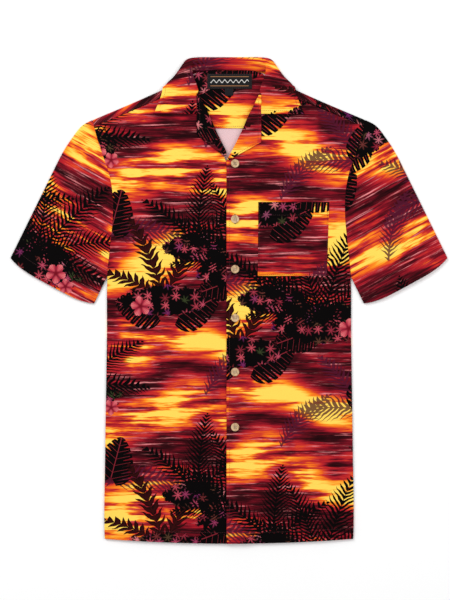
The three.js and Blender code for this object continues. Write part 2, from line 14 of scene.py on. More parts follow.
import bpy
import mathutils
import numpy as np
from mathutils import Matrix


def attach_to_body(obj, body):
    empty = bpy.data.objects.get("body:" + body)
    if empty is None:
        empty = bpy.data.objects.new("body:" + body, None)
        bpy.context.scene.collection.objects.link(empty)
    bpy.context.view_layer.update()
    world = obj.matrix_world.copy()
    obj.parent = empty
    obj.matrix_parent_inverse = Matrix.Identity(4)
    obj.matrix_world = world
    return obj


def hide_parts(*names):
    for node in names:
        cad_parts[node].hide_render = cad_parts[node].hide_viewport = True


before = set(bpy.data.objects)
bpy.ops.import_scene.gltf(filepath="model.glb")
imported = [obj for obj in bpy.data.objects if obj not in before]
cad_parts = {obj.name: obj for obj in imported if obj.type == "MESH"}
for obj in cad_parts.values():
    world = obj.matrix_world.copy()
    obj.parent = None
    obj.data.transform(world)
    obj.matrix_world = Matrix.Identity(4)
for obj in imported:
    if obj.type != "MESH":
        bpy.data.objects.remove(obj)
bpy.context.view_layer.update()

MM = 0.001
log = logging.getLogger("shirt")

Array = np.ndarray
Object, Material, Socket = bpy.types.Object, bpy.types.Material, bpy.types.NodeSocket
Pair = tuple[float, float]
Point = tuple[float, float, float]
Colour = tuple[float, float, float, float]
Line = tuple[Array, Array]
Level = Callable[[Array, Array], Array]
Value = Socket | float | tuple[float, ...]


# Sums on whole arrays


def lerp(low: Array, high: Array, share: Array) -> Array:
    """The place at a share of the way from low to high: low + (high - low) times the share."""
    return low + (high - low) * share


def smoothstep(value: Array, low: float, high: float) -> Array:
    """A soft step from 0 to 1 as value goes from low to high: three t squared less two t cubed."""
    share = np.clip((np.asarray(value, float) - low) / (high - low), 0, 1)
    return share * share * (3 - 2 * share)


def spread(low: float, high: float, step: float) -> Array:
    """Even places from low to high, no further apart than step."""
    return np.linspace(low, high, max(2, math.ceil(abs(high - low) / step) + 1))


def unit(vectors: Array) -> Array:
    """Vectors divided by their own lengths."""
    return vectors / np.maximum(np.linalg.norm(vectors, axis=-1, keepdims=True), 1e-12)


def run_along(points: Array, axis: int = 0) -> Array:
    """The length run from the first point: the running sum of the distances between neighbours."""
    gaps = np.linalg.norm(np.diff(points, axis=axis), axis=-1)
    return np.insert(np.cumsum(gaps, axis=axis), 0, 0, axis=axis)


@dataclass(frozen=True)
class Curve:
    """A smooth curve through a short table of places, each a key and a value."""

    places: tuple[Pair, ...]

    def at(self, where: Array) -> Array:
        """The curve's value at a key.

        Between two rows it is a cubic Hermite: the soft step between their values, with the mean of
        the neighbouring slopes at each row. Outside the table it stays at the end values.

        Args:
            where: the keys to read at.

        Returns:
            The value at each key.
        """
        keys, values = np.array(self.places).T
        slopes = np.diff(values) / np.diff(keys)
        means = (slopes[:-1] + slopes[1:]) / 2
        before, after = np.append(slopes[0], means), np.append(means, slopes[-1])
        i = np.clip(np.searchsorted(keys, where) - 1, 0, len(keys) - 2)
        span = keys[i + 1] - keys[i]
        t = np.clip((where - keys[i]) / span, 0, 1)
        bend = (1 - t) ** 2 * before[i] * t * span - t**2 * after[i] * (1 - t) * span
        return lerp(values[i], values[i + 1], smoothstep(t, 0, 1)) + bend


def distance_to_lines(x: Array, y: Array, lines: Sequence[Array]) -> Array:
    """The distance in plan to the nearest of some lines.

    For each stretch of a line it is the distance to the foot of the perpendicular, held between the
    stretch's ends, and the least of them all counts.

    Args:
        x: places across.
        y: places along.
        lines: arrays of points, each with a row for a point.

    Returns:
        The distance at each place.
    """
    here = np.stack(np.broadcast_arrays(x, y), axis=-1)
    nearest = np.full(here.shape[:-1], np.inf)
    for line in lines:
        for start, end in zip(line[:-1], line[1:]):
            way = end - start
            share = np.clip((here - start) @ way / (way @ way), 0, 1)
            gap = np.linalg.norm(here - start - share[..., None] * way, axis=-1)
            nearest = np.minimum(nearest, gap)
    return nearest


# Sizes that the pieces share


@dataclass(frozen=True)
class Make:
    """How the cloth is sewn and folded, in millimetres."""

    cloth: float = 1.2
    ply: float = 0.6
    hem_depth: float = 20
    hem_stitch: float = 18.5
    hem_ply: float = 0.6
    seam: float = 0.3
    fold_radius: float = 1.6
    loft_rise: float = 1.6
    loft_reach: float = 55
    grain: float = 3

    @property
    def back_level(self) -> float:
        """The height of the back panel's middle."""
        return self.cloth / 2

    def fold_drop(self, inside: Array) -> Array:
        """How far a round fold has turned in: its radius less the circle's height at that place."""
        outwards = np.clip(self.fold_radius - inside, 0, self.fold_radius)
        return self.fold_radius - np.sqrt(self.fold_radius**2 - outwards**2)

    @property
    def fold_insets(self) -> Array:
        """Distances inside a fold's outermost line, at even angles round a quarter of it."""
        return self.fold_radius * (1 - np.sin(np.linspace(0, math.pi / 2, 6)))

    def hem_back(self, from_hem: Array, drop: Array = 0.0) -> Array:
        """The depth of the cloth's inner face: the turned hem's ply, fading where a fold turns."""
        deep = 1 - smoothstep(from_hem, self.hem_depth - 1, self.hem_depth)
        return self.hem_ply * deep * (1 - smoothstep(drop, 0, self.fold_radius / 2))


MAKE = Make()


@dataclass(frozen=True)
class Crease:
    """One soft crease, a ridge or a trough between two places on the shirt."""

    start: Pair
    end: Pair
    depth: float
    width: float

    def height(self, x: Array, y: Array) -> Array:
        """Its height: the depth times a bell over the distance from its line."""
        distance = distance_to_lines(x, y, [np.array([self.start, self.end])])
        return self.depth * np.exp(-((distance / self.width) ** 2))


@dataclass(frozen=True)
class Body:
    """The shirt's body in plan and the height of each of its layers."""

    hem_y: float = -413
    hem_rise: float = 8
    hem_reach: float = 90
    underarm_y: float = 40
    yoke_seam_y: float = 292.4
    side: Curve = Curve(
        (
            (-413, 210.5), (-396, 211.5), (-250, 210.3), (-60, 207.5), (40, 206.5), (89, 202),
            (140, 197.2), (179, 197.5), (213, 203), (247, 214.5), (276, 224), (306, 232),
        )
    )
    shoulder_fold: Curve = Curve(((72, 376), (108, 359.5), (170, 332.2), (232, 306)))
    shoulder_seam: Curve = Curve(((70, 364), (126, 338.5), (232, 295.5)))
    back_neck: Curve = Curve(((0, 390), (46, 388.6), (60, 385), (72, 376)))
    sleeve_top: tuple[Pair, ...] = ((249, 297), (264, 279), (283.4, 249), (311, 194), (371, 72.3))
    cuff_inner: Pair = (228.8, -5)
    front_edge_x: float = -4
    lap_edge_x: float = 22
    lap_top: float = 200
    lap_over: float = 2.2
    lap_run: float = 22
    lap_end_y: float = 270
    collar_ply: float = 2
    fall_x: float = 108
    fall_y: float = 356
    fall_run: float = 45
    fall_lead: float = 2
    facing_ply: float = 1
    crease_fade: Pair = (2, 25)
    crease_top: Pair = (250, 300)
    creases: tuple[Crease, ...] = (
        Crease((190, 120), (120, 30), 0.7, 15),
        Crease((196, 60), (150, -20), -0.5, 12),
        Crease((60, 20), (30, -90), 0.6, 13),
        Crease((175, -60), (120, -190), 0.6, 17),
        Crease((40, -160), (90, -300), -0.5, 15),
        Crease((190, -250), (140, -350), 0.5, 14),
        Crease((60, -330), (30, -395), 0.6, 12),
        Crease((-196, 110), (-130, 10), 0.7, 15),
        Crease((-190, 30), (-160, -60), -0.5, 13),
        Crease((-60, 180), (-110, 90), 0.5, 14),
        Crease((-50, -20), (-95, -140), 0.6, 15),
        Crease((-180, -130), (-110, -230), 0.6, 17),
        Crease((-70, -260), (-45, -370), 0.5, 13),
        Crease((-190, -300), (-150, -390), -0.5, 14),
        Crease((90, 250), (150, 210), 0.5, 14),
        Crease((-100, 260), (-160, 200), 0.5, 14),
        Crease((225, 250), (300, 150), 0.6, 13),
        Crease((240, 120), (300, 60), -0.5, 13),
        Crease((-225, 240), (-310, 140), 0.6, 14),
        Crease((-235, 70), (-290, 110), 0.5, 12),
    )

    def half_width(self, y: Array) -> Array:
        """Half the body's width: out to the side seam and, above the underarm, the armhole seam."""
        return self.side.at(y)

    def hem_line(self, x: Array) -> Array:
        """Where the hem runs: lowest in the middle and rising with the square of the way out."""
        return self.hem_y + self.hem_rise * (x / self.side.places[0][1]) ** 2

    def folds(self) -> list[Array]:
        """The folds that join the two layers, as lines in plan: over the top and under the arm."""
        side = [(x, y) for y, x in (self.side.places[0], self.side.places[4])]
        return [np.array(self.shoulder_fold.places + self.sleeve_top), np.array([*side, self.cuff_inner])]

    def collar_lift(self, x: Array, y: Array) -> Array:
        """How far the collar's fall lifts what lies on it: a soft step along and one across.

        Args:
            x: places across.
            y: places along.

        Returns:
            The lift at each place.
        """
        lifted_from = self.fall_y - self.fall_lead
        along = smoothstep(y, lifted_from - self.fall_run, lifted_from)
        across = smoothstep(-np.abs(x), -self.fall_x - self.fall_run, -self.fall_x)
        return (self.collar_ply + 2 * MAKE.seam) * along * across

    def back_level(self, x: Array, y: Array) -> Array:
        """The height of the under layer's middle."""
        return MAKE.back_level + self.collar_lift(x, y)

    def front_level(self, x: Array, y: Array) -> Array:
        """The height of the upper layer's middle.

        It lies two fold radii over the under layer, rises softly away from the folds and carries the
        creases, which fade out under the collar and towards the folds.

        Args:
            x: places across.
            y: places along.

        Returns:
            The height at each place.
        """
        from_fold = distance_to_lines(np.abs(x), y, self.folds())
        loft = MAKE.loft_rise * smoothstep(from_fold, 0, MAKE.loft_reach)
        creased = sum(crease.height(x, y) for crease in self.creases)
        fade = smoothstep(from_fold, *self.crease_fade) * (1 - smoothstep(y, *self.crease_top))
        return self.back_level(x, y) + 2 * MAKE.fold_radius + loft + creased * fade

    def lap_level(self, x: Array, y: Array) -> Array:
        """The height of the left front, which comes down beside and above the right one's edge.

        Args:
            x: places across.
            y: places along.

        Returns:
            The height at each place.
        """
        beside = 1 - smoothstep(x, self.lap_edge_x + 2, self.lap_edge_x + 2 + self.lap_run)
        below = 1 - smoothstep(y, self.lap_end_y - 2 * self.lap_run, self.lap_end_y)
        return self.front_level(x, y) + self.lap_over * beside * below

    def facing_level(self, x: Array, y: Array) -> Array:
        """The height of the yoke's inner ply."""
        return self.back_level(x, y) + MAKE.cloth / 2 + MAKE.seam + self.facing_ply / 2

    def in_fold(self, y: Array) -> Array:
        """1 where the side is a fold, below the underarm, and 0 where it is an open edge above."""
        return smoothstep(-np.asarray(y, float), -self.underarm_y - 8, -self.underarm_y + 8)

    def side_reach(self, y: Array) -> Array:
        """How far out the middle of the cloth goes at a height."""
        return self.half_width(y) - lerp(MAKE.seam / 2, MAKE.cloth / 2, self.in_fold(y))

    def side_turn(self, x: Array, y: Array) -> Array:
        """How far the cloth has turned towards the other layer beside the side seam."""
        return MAKE.fold_drop(self.side_reach(y) - np.abs(x)) * self.in_fold(y)


BODY = Body()


def on_level(level: Level, ply: float, piece_ply: float) -> Level:
    """The level of a piece that lies on another: half of each ply and a seam's gap higher."""
    return lambda x, y: level(x, y) + ply / 2 + MAKE.seam + piece_ply / 2


# Cloth as closed thin shells


@dataclass(frozen=True)
class Print:
    """How a piece was cut out of the printed cloth: where its own origin lay, and how it was turned."""

    across: float = 0
    along: float = 0
    turn: float = 0

    def place(self, x: Array, y: Array) -> Array:
        """Places on the uncut cloth: the piece's own places turned about its origin, then moved.

        Args:
            x: places across the piece.
            y: places along the piece.

        Returns:
            Two columns, across and along the uncut cloth.
        """
        cos, sin = math.cos(math.radians(self.turn)), math.sin(math.radians(self.turn))
        across = self.across + x * cos - y * sin
        return np.stack(np.broadcast_arrays(across, self.along + x * sin + y * cos), axis=-1)


@dataclass
class Patch:
    """A grid of points in the middle of a ply, with what it has on its face side and its back side."""

    middle: Array
    place: Array
    face: Array | float = 0.6
    back: Array | float = 0.0
    ring: bool = False
    flip: bool = False

    def normals(self) -> Array:
        """The face side's direction: the way along a row crossed with the way from row to row.

        Returns:
            A direction for each point.
        """
        middle = self.middle
        if self.ring:
            middle = np.concatenate([middle[:, -1:], middle, middle[:, :1]], axis=1)
        across, along = np.gradient(middle, axis=1), np.gradient(middle, axis=0)
        normals = unit(np.cross(across, along)) * (-1 if self.flip else 1)
        return normals[:, 1:-1] if self.ring else normals

    def line(self, rows: Array, columns: Array) -> Line:
        """Points on the face and the directions out of it, at fractional rows and columns.

        Each is the mean of the four grid points around it, weighted by how near they are.

        Args:
            rows: a row for each point of the line.
            columns: a column for each point of the line.

        Returns:
            The points and the directions.
        """
        rows, columns = np.broadcast_arrays(np.asarray(rows, float), np.asarray(columns, float))
        i = np.clip(rows.astype(int), 0, self.middle.shape[0] - 2)
        j = np.clip(columns.astype(int), 0, self.middle.shape[1] - 2)
        down, over = (rows - i)[:, None], (columns - j)[:, None]

        def mean(grid: Array) -> Array:
            """The weighted mean of a grid's four corners."""
            near = lerp(grid[i, j], grid[i, j + 1], over)
            return lerp(near, lerp(grid[i + 1, j], grid[i + 1, j + 1], over), down)

        normals = self.normals()
        face = np.broadcast_to(self.face, self.middle.shape[:2])[..., None]
        return mean(self.middle + normals * face), unit(mean(normals))

    def column_at(self, inset: float, far: bool = False) -> Array:
        """Where each row has run an inset in from one of its ends.

        Args:
            inset: the length to run.
            far: whether to run it from the last point.

        Returns:
            A fractional column for each row.
        """
        run = run_along(self.middle, axis=1)
        wanted = run[:, -1] - inset if far else np.full(len(run), inset)
        counts = np.arange(run.shape[1])
        return np.array([np.interp(reach, row, counts) for reach, row in zip(wanted, run)])

    def row_at(self, inset: float, far: bool = False) -> Array:
        """Where each column has run an inset in from one of its ends, as fractional rows."""
        turned = Patch(self.middle.transpose(1, 0, 2), self.place.transpose(1, 0, 2))
        return turned.column_at(inset, far)

    def across(self, inset: float, far: bool = False, skip: int = 0) -> Line:
        """A line an inset in from the first row or the last one, short of the sides by some columns."""
        columns = np.arange(skip, self.middle.shape[1] - skip)
        return self.line(self.row_at(inset, far)[columns], columns)

    def down(self, inset: float, far: bool, rows: Array) -> Line:
        """A line through some rows, an inset in from their first points or the last ones."""
        return self.line(rows, self.column_at(inset, far)[rows])


def quads_of(grid: Array, ring: bool) -> Array:
    """The faces between a grid's neighbouring rows and columns.

    Args:
        grid: point numbers in rows and columns.
        ring: whether each row closes on itself.

    Returns:
        Four point numbers for each face.
    """
    if ring:
        grid = np.concatenate([grid, grid[:, :1]], axis=1)
    corners = (grid[:-1, :-1], grid[:-1, 1:], grid[1:, 1:], grid[1:, :-1])
    return np.stack(corners, axis=-1).reshape(-1, 4)


def new_object(name: str, points: Array, blocks: Sequence[Array], sharp: float = 40) -> Object:
    """A smooth-shaded object from points in millimetres, with its sharp edges kept.

    Args:
        name: the object's name.
        points: a row for each point.
        blocks: arrays of faces, each with a row of point numbers for each face.
        sharp: the angle in degrees past which an edge stays sharp.

    Returns:
        The object, in the scene.
    """
    mesh = bpy.data.meshes.new(name)
    mesh.from_pydata((points * MM).tolist(), [], [face for block in blocks for face in block.tolist()])
    mesh.shade_smooth()
    mesh.set_sharp_from_angle(angle=math.radians(sharp))
    made = bpy.data.objects.new(name, mesh)
    bpy.context.scene.collection.objects.link(made)
    return made


def store(made: Object, name: str, kind: str, values: Array) -> None:
    """Puts a value for each point into the mesh.

    Args:
        made: the object.
        name: the attribute's name.
        kind: FLOAT or FLOAT_VECTOR.
        values: a row for each point.
    """
    attribute = made.data.attributes.new(name, kind, "POINT")
    key = "vector" if kind == "FLOAT_VECTOR" else "value"
    attribute.data.foreach_set(key, np.ascontiguousarray(values, np.float32).ravel())


def shell(
    name: str,
    patches: Sequence[Patch],
    seams: Sequence[Array] = (),
    round_edge: float = 0.25,
    two_ply: bool = False,
) -> Object:
    """A closed thin shell from patches whose shared points join.

    Each point's direction is its faces' mean, weighted by their areas. The face side is the middle
    moved out along it, and the back side the middle moved in. Along the rim runs a row of points
    halfway between them, moved outwards in the cloth's own plane, so that the edge is round.

    Args:
        name: the object's name.
        patches: the grids, all with the same flip and ring.
        seams: lines of points, for the distance to the nearest seam that the puckers read.
        round_edge: how far the rim bulges.
        two_ply: whether the cloth's printed face is out on both sides.

    Returns:
        The object, with cloth_place and seam_distance on its points.
    """
    flip, ring = patches[0].flip, patches[0].ring
    points = np.concatenate([patch.middle.reshape(-1, 3) for patch in patches])
    place = np.concatenate([patch.place.reshape(-1, 2) for patch in patches])
    spans = [patch.middle.shape[:2] for patch in patches]
    face = np.concatenate([np.broadcast_to(p.face, s).ravel() for p, s in zip(patches, spans)])
    back = np.concatenate([np.broadcast_to(p.back, s).ravel() for p, s in zip(patches, spans)])
    keys = np.round(points / 0.002).astype(np.int64)
    first, ids = np.unique(keys, axis=0, return_index=True, return_inverse=True)[1:]
    ids = ids.ravel()
    points, place, face, back = points[first], place[first], face[first], back[first]

    quads, start = [], 0
    for rows, columns in spans:
        grid = ids[start : start + rows * columns].reshape(rows, columns)
        start += rows * columns
        quads.append(quads_of(grid, ring))
    quads = np.concatenate(quads)
    if flip:
        quads = quads[:, ::-1]

    a, b, c, d = (points[quads[:, corner]] for corner in range(4))
    normals = np.zeros_like(points)
    for corner in range(4):
        np.add.at(normals, quads[:, corner], np.cross(c - a, d - b))
    normals = unit(normals)

    count = len(points)
    come, go = quads.ravel(), np.roll(quads, -1, axis=1).ravel()
    open_edge = ~np.isin(go * count + come, come * count + go)
    come, go = come[open_edge], go[open_edge]
    outwards = np.zeros_like(points)
    for end in (come, go):
        np.add.at(outwards, end, np.cross(points[go] - points[come], normals[end]))
    edge = np.unique(come)
    rounded = points[edge] + normals[edge] * ((face - back) / 2)[edge, None]
    rounded += unit(outwards[edge]) * round_edge

    outer, inner = points + normals * face[:, None], points - normals * back[:, None]
    half_come, half_go = (2 * count + np.searchsorted(edge, end) for end in (come, go))
    faces = np.concatenate(
        [
            quads,
            quads[:, ::-1] + count,
            np.stack([go, come, half_come, half_go], axis=-1),
            np.stack([half_go, half_come, come + count, go + count], axis=-1),
        ]
    )
    made = new_object(name, np.concatenate([outer, inner, rounded]), [faces])

    side = np.repeat([0, 0 if two_ply else 1, 0], [count, count, len(edge)])
    places = np.concatenate([place, place, place[edge]])
    store(made, "cloth_place", "FLOAT_VECTOR", np.column_stack([places * MM, side]))
    away = np.full(count, 99.0)
    if seams:
        near = distance_to_lines(points[:, 0], points[:, 1], [line[::3, :2] for line in seams])
        away = np.minimum(near, 99)
    store(made, "seam_distance", "FLOAT", np.concatenate([away, away, away[edge]]) * MM)
    return made


# Sewing thread


@dataclass(frozen=True)
class Stitching:
    """Stitches along a line: short round-ended lengths of thread that dip into the cloth."""

    length: float = 2.5
    gap: float = 0.7
    radius: float = 0.22
    rise: float = 0.45
    dive: float = 1.2
    sides: int = 6

    def capsule(self) -> tuple[Array, Array, Array]:
        """One stitch along its own X.

        A circle of the thread's radius is carried along a straight line and shrinks to its ends as a
        half ellipse, while the whole bends down towards them.

        Returns:
            Its points, its faces of four corners and the two faces that close its ends.
        """
        shares = np.array([0.01, 0.16, 0.5, 0.84, 0.99])
        swell = self.radius * np.sqrt(1 - (2 * shares - 1) ** 4)
        angles = np.arange(self.sides) * (2 * math.pi / self.sides)
        x = np.repeat((shares - 0.5) * self.length, self.sides)
        y = np.outer(swell, np.cos(angles)).ravel()
        z = np.outer(swell, np.sin(angles)).ravel()
        z += np.repeat(self.radius * (self.rise - self.dive * (2 * shares - 1) ** 4), self.sides)
        grid = np.arange(len(x)).reshape(len(shares), self.sides)
        ends = np.stack([grid[0, ::-1], grid[-1]])
        return np.column_stack([x, y, z]), quads_of(grid, ring=True), ends

    def frames(self, points: Array, normals: Array) -> tuple[Array, ...]:
        """Where each stitch lies and how it is turned, evenly along a line.

        Args:
            points: the line's points.
            normals: the cloth's direction out at each of them.

        Returns:
            The middles, the ways along, the ways sideways and the ways out.
        """
        run = run_along(points)
        count = max(1, int(run[-1] / (self.length + self.gap)))
        middles = (np.arange(count) + 0.5) * run[-1] / count

        def read(values: Array, where: Array) -> Array:
            """A column-wise reading of values along the run."""
            return np.column_stack([np.interp(where, run, values[:, k]) for k in range(3)])

        half = self.length / 2
        along = unit(read(points, middles + half) - read(points, middles - half))
        out = unit(read(normals, middles))
        sideways = unit(np.cross(out, along))
        return read(points, middles), along, sideways, np.cross(along, sideways)

    def sew(self, name: str, lines: Sequence[Line]) -> Object:
        """One joined mesh of the stitches along some lines.

        Each stitch is the capsule's points turned into the line's own directions and moved there.

        Args:
            name: the object's name.
            lines: the points and the directions out of the cloth, for each line.

        Returns:
            The object.
        """
        middles, along, sideways, out = (
            np.concatenate(parts) for parts in zip(*(self.frames(*line) for line in lines))
        )
        points, quads, ends = self.capsule()
        placed = (
            middles[:, None]
            + points[None, :, :1] * along[:, None]
            + points[None, :, 1:2] * sideways[:, None]
            + points[None, :, 2:] * out[:, None]
        )
        steps = np.arange(len(middles))[:, None, None] * len(points)
        blocks = [(faces[None] + steps).reshape(-1, faces.shape[1]) for faces in (quads, ends)]
        return new_object(name, placed.reshape(-1, 3), blocks, sharp=180)


# Materials, written as sums over node sockets


class Sums:
    """Writes a node tree: each method adds a node and gives back its output."""

    def __init__(self, tree: bpy.types.NodeTree) -> None:
        """Keeps the tree that the nodes go into."""
        self.tree = tree

    def node(
        self, kind: str, values: dict[int | str, Value] | None = None, **settings: object
    ) -> bpy.types.Node:
        """Adds a node.

        Args:
            kind: the node's type, without the words that all shader nodes start with.
            values: what goes into its inputs, each a link or a constant.
            settings: what its own properties are set to.

        Returns:
            The node.
        """
        made = self.tree.nodes.new(f"ShaderNode{kind}")
        for name, setting in settings.items():
            setattr(made, name, setting)
        self.feed(made, values or {})
        return made

    def feed(self, made: bpy.types.Node, values: dict[int | str, Value]) -> None:
        """Puts links and constants into a node's inputs.

        Args:
            made: the node.
            values: what goes in, by the inputs' names or numbers.
        """
        for key, value in values.items():
            if isinstance(value, Socket):
                self.tree.links.new(value, made.inputs[key])
            else:
                made.inputs[key].default_value = value

    def math(self, operation: str, *values: Value) -> Socket:
        """One sum on numbers."""
        return self.node("Math", dict(enumerate(values)), operation=operation).outputs[0]

    def add(self, *values: Value) -> Socket:
        """The values added up."""
        return reduce(lambda total, value: self.math("ADD", total, value), values)

    def times(self, *values: Value) -> Socket:
        """The values multiplied."""
        return reduce(lambda product, value: self.math("MULTIPLY", product, value), values)

    def minus(self, value: Value, other: Value) -> Socket:
        """The value less the other one."""
        return self.math("SUBTRACT", value, other)

    def over(self, value: Value, other: Value) -> Socket:
        """The value divided by the other one."""
        return self.math("DIVIDE", value, other)

    def size(self, value: Value) -> Socket:
        """The value without its sign."""
        return self.math("ABSOLUTE", value)

    def less(self, value: Value, other: Value) -> Socket:
        """1 where the value is under the other one, and 0 elsewhere."""
        return self.math("LESS_THAN", value, other)

    def most(self, *values: Value) -> Socket:
        """The largest of the values."""
        return reduce(lambda top, value: self.math("MAXIMUM", top, value), values)

    def soft(self, value: Value, low: Value, high: Value) -> Socket:
        """A soft step from 0 at low to 1 at high, which may run backwards."""
        inputs = {"Value": value, "From Min": low, "From Max": high}
        return self.node("MapRange", inputs, interpolation_type="SMOOTHSTEP").outputs["Result"]

    def within(self, share: Value) -> Socket:
        """1 where a share lies between 0 and 1, and 0 elsewhere."""
        return self.times(self.less(share, 1.0), self.less(0.0, share))

    def length(self, x: Value, y: Value) -> Socket:
        """The square root of both values' squares added up."""
        return self.math("SQRT", self.add(self.times(x, x), self.times(y, y)))

    def split(self, vector: Socket) -> tuple[Socket, Socket, Socket]:
        """A vector's three parts."""
        x, y, z = self.node("SeparateXYZ", {0: vector}).outputs
        return x, y, z

    def join(self, x: Value, y: Value, z: Value = 0.0) -> Socket:
        """A vector from three parts."""
        return self.node("CombineXYZ", {0: x, 1: y, 2: z}).outputs[0]

    def stored(self, name: str) -> Socket:
        """What a mesh has stored on its points under a name."""
        kind = "Fac" if name == "seam_distance" else "Vector"
        return self.node("Attribute", attribute_name=name).outputs[kind]

    def own(self) -> Socket:
        """Places on the object itself, in metres."""
        return self.node("TexCoord").outputs["Object"]

    def apart(self, vector: Socket, other: Socket) -> Socket:
        """A vector less the other one."""
        return self.node("VectorMath", {0: vector, 1: other}, operation="SUBTRACT").outputs[0]

    def turned(self, vector: Socket, degrees: float) -> Socket:
        """A vector turned clockwise about Z, which turns what is drawn with it the other way."""
        inputs = {"Vector": vector, "Angle": -math.radians(degrees)}
        return self.node("VectorRotate", inputs, rotation_type="Z_AXIS").outputs[0]

    def scaled(self, vector: Socket, x: float, y: float, z: float = 1.0) -> Socket:
        """A vector's parts multiplied by their own factors."""
        return self.node("VectorMath", {0: vector, 1: (x, y, z)}, operation="MULTIPLY").outputs[0]

    def noise(self, vector: Socket, scale: float, detail: float = 2.0, rough: float = 0.5) -> Socket:
        """Soft noise about one half."""
        inputs = {"Vector": vector, "Scale": scale, "Detail": detail, "Roughness": rough}
        return self.node("TexNoise", inputs).outputs[0]

    def mix(self, share: Value, low: Value, high: Value) -> Socket:
        """A colour at a share of the way from low to high."""
        return self.node("Mix", {0: share, 6: low, 7: high}, data_type="RGBA").outputs[2]

    def ramp(self, value: Value, stops: Sequence[tuple[float, Point]]) -> Socket:
        """Colours along a value, from a table of places and colours.

        Args:
            value: where to read.
            stops: places from 0 to 1, each with its colour.

        Returns:
            The colour.
        """
        made = self.node("ValToRGB", {0: value})
        elements = made.color_ramp.elements
        for place, _ in stops[1:-1]:
            elements.new(place)
        for element, (place, colour) in zip(elements, stops):
            element.position, element.color = place, (*colour, 1)
        return made.outputs[0]


SOCKETS = {"float": "NodeSocketFloat", "vector": "NodeSocketVector", "colour": "NodeSocketColor"}


class Group:
    """A shader node group, built once and placed many times.

    An input is named with the number that it starts from, or with None where it takes a vector.
    """

    name: str = "group"
    inputs: dict[str, float | None] = {}
    outputs: dict[str, str] = {}

    def draw(self, sums: Sums, given: dict[str, Socket]) -> dict[str, Socket]:
        """The group's own sums, from its inputs to its outputs."""
        raise NotImplementedError

    def tree(self) -> bpy.types.NodeTree:
        """The group's tree, made the first time that it is asked for.

        Returns:
            The tree.
        """
        if self.name in bpy.data.node_groups:
            return bpy.data.node_groups[self.name]
        tree = bpy.data.node_groups.new(self.name, "ShaderNodeTree")
        for name, default in self.inputs.items():
            kind = SOCKETS["vector" if default is None else "float"]
            socket = tree.interface.new_socket(name, in_out="INPUT", socket_type=kind)
            if default is not None:
                socket.default_value = default
        for name, kind in self.outputs.items():
            tree.interface.new_socket(name, in_out="OUTPUT", socket_type=SOCKETS[kind])
        start, end = tree.nodes.new("NodeGroupInput"), tree.nodes.new("NodeGroupOutput")
        given = {name: start.outputs[name] for name in self.inputs}
        for name, socket in self.draw(Sums(tree), given).items():
            tree.links.new(socket, end.inputs[name])
        return tree

    def use(self, sums: Sums, **values: Value) -> dict[str, Socket]:
        """Places the group in a tree, with values for its inputs, and gives its outputs by name."""
        made = sums.node("Group", values, node_tree=self.tree())
        return {name: made.outputs[name] for name in self.outputs}


class Repeat(Group):
    """The print's half-drop repeat: where a place lies from the nearest copy of a motif's root."""

    name = "half_drop_repeat"
    inputs = {"place": None, "root": None, "width": 0.30, "height": 0.42}
    outputs = {"Local": "vector"}

    def draw(self, sums: Sums, given: dict[str, Socket]) -> dict[str, Socket]:
        """Wraps across, drops each next column by half a height, then wraps along.

        The column is the floor of the way across over the width plus a half.

        Args:
            sums: the group's own sums.
            given: its inputs by name.

        Returns:
            Its outputs by name.
        """
        x, y, _ = sums.split(sums.apart(given["place"], given["root"]))
        width, height = given["width"], given["height"]
        column = sums.math("FLOOR", sums.add(sums.over(x, width), 0.5))
        across = sums.minus(x, sums.times(column, width))
        dropped = sums.minus(y, sums.times(column, height, 0.5))
        row = sums.math("FLOOR", sums.add(sums.over(dropped, height), 0.5))
        return {"Local": sums.join(across, sums.minus(dropped, sums.times(row, height)))}


class Frond(Group):
    """One arched frond: a rib with slanting leaflets, close together on a broad torn leaf."""

    name = "frond"
    inputs = {
        "local": None, "length": 0.15, "spread": 0.2, "bend": 0.2,
        "pitch": 0.007, "slant": 0.9, "fill": 0.7,
    }
    outputs = {"Mask": "float", "Shade": "float"}

    def draw(self, sums: Sums, given: dict[str, Socket]) -> dict[str, Socket]:
        """Leaflets out of a comb along the rib.

        The rib bends with the square of the way along it. A leaflet reaches out to the spread times a
        hump over the rib, and is as wide as the fill less the 1.5th power of the way out to its tip.

        Args:
            sums: the group's own sums.
            given: its inputs by name.

        Returns:
            Its outputs by name.
        """
        x, y, _ = sums.split(given["local"])
        length = given["length"]
        share = sums.over(x, length)
        bend = sums.times(given["bend"], length, share, share)
        size = sums.size(sums.add(y, bend))
        hump = sums.times(share, sums.minus(1.0, share), 4.0)
        reach = sums.times(given["spread"], length, sums.math("POWER", sums.most(hump, 0.001), 0.7))
        out = sums.over(size, reach)
        wobble = sums.noise(given["local"], 60.0, 1.0)
        comb = sums.minus(x, sums.times(size, given["slant"]))
        comb = sums.add(sums.over(comb, given["pitch"]), sums.times(wobble, 1.2))
        tooth = sums.size(sums.minus(sums.math("FRACT", comb), 0.5))
        narrow = sums.minus(1.0, sums.math("POWER", out, 1.5))
        leaflet = sums.less(sums.times(tooth, 2.0), sums.times(given["fill"], narrow))
        rib = sums.less(size, sums.times(sums.minus(1.1, share), 0.0016))
        mask = sums.times(sums.most(sums.times(leaflet, sums.less(out, 1.0)), rib), sums.within(share))
        return {"Mask": mask, "Shade": sums.most(sums.minus(1.0, sums.times(tooth, 2.0)), rib)}


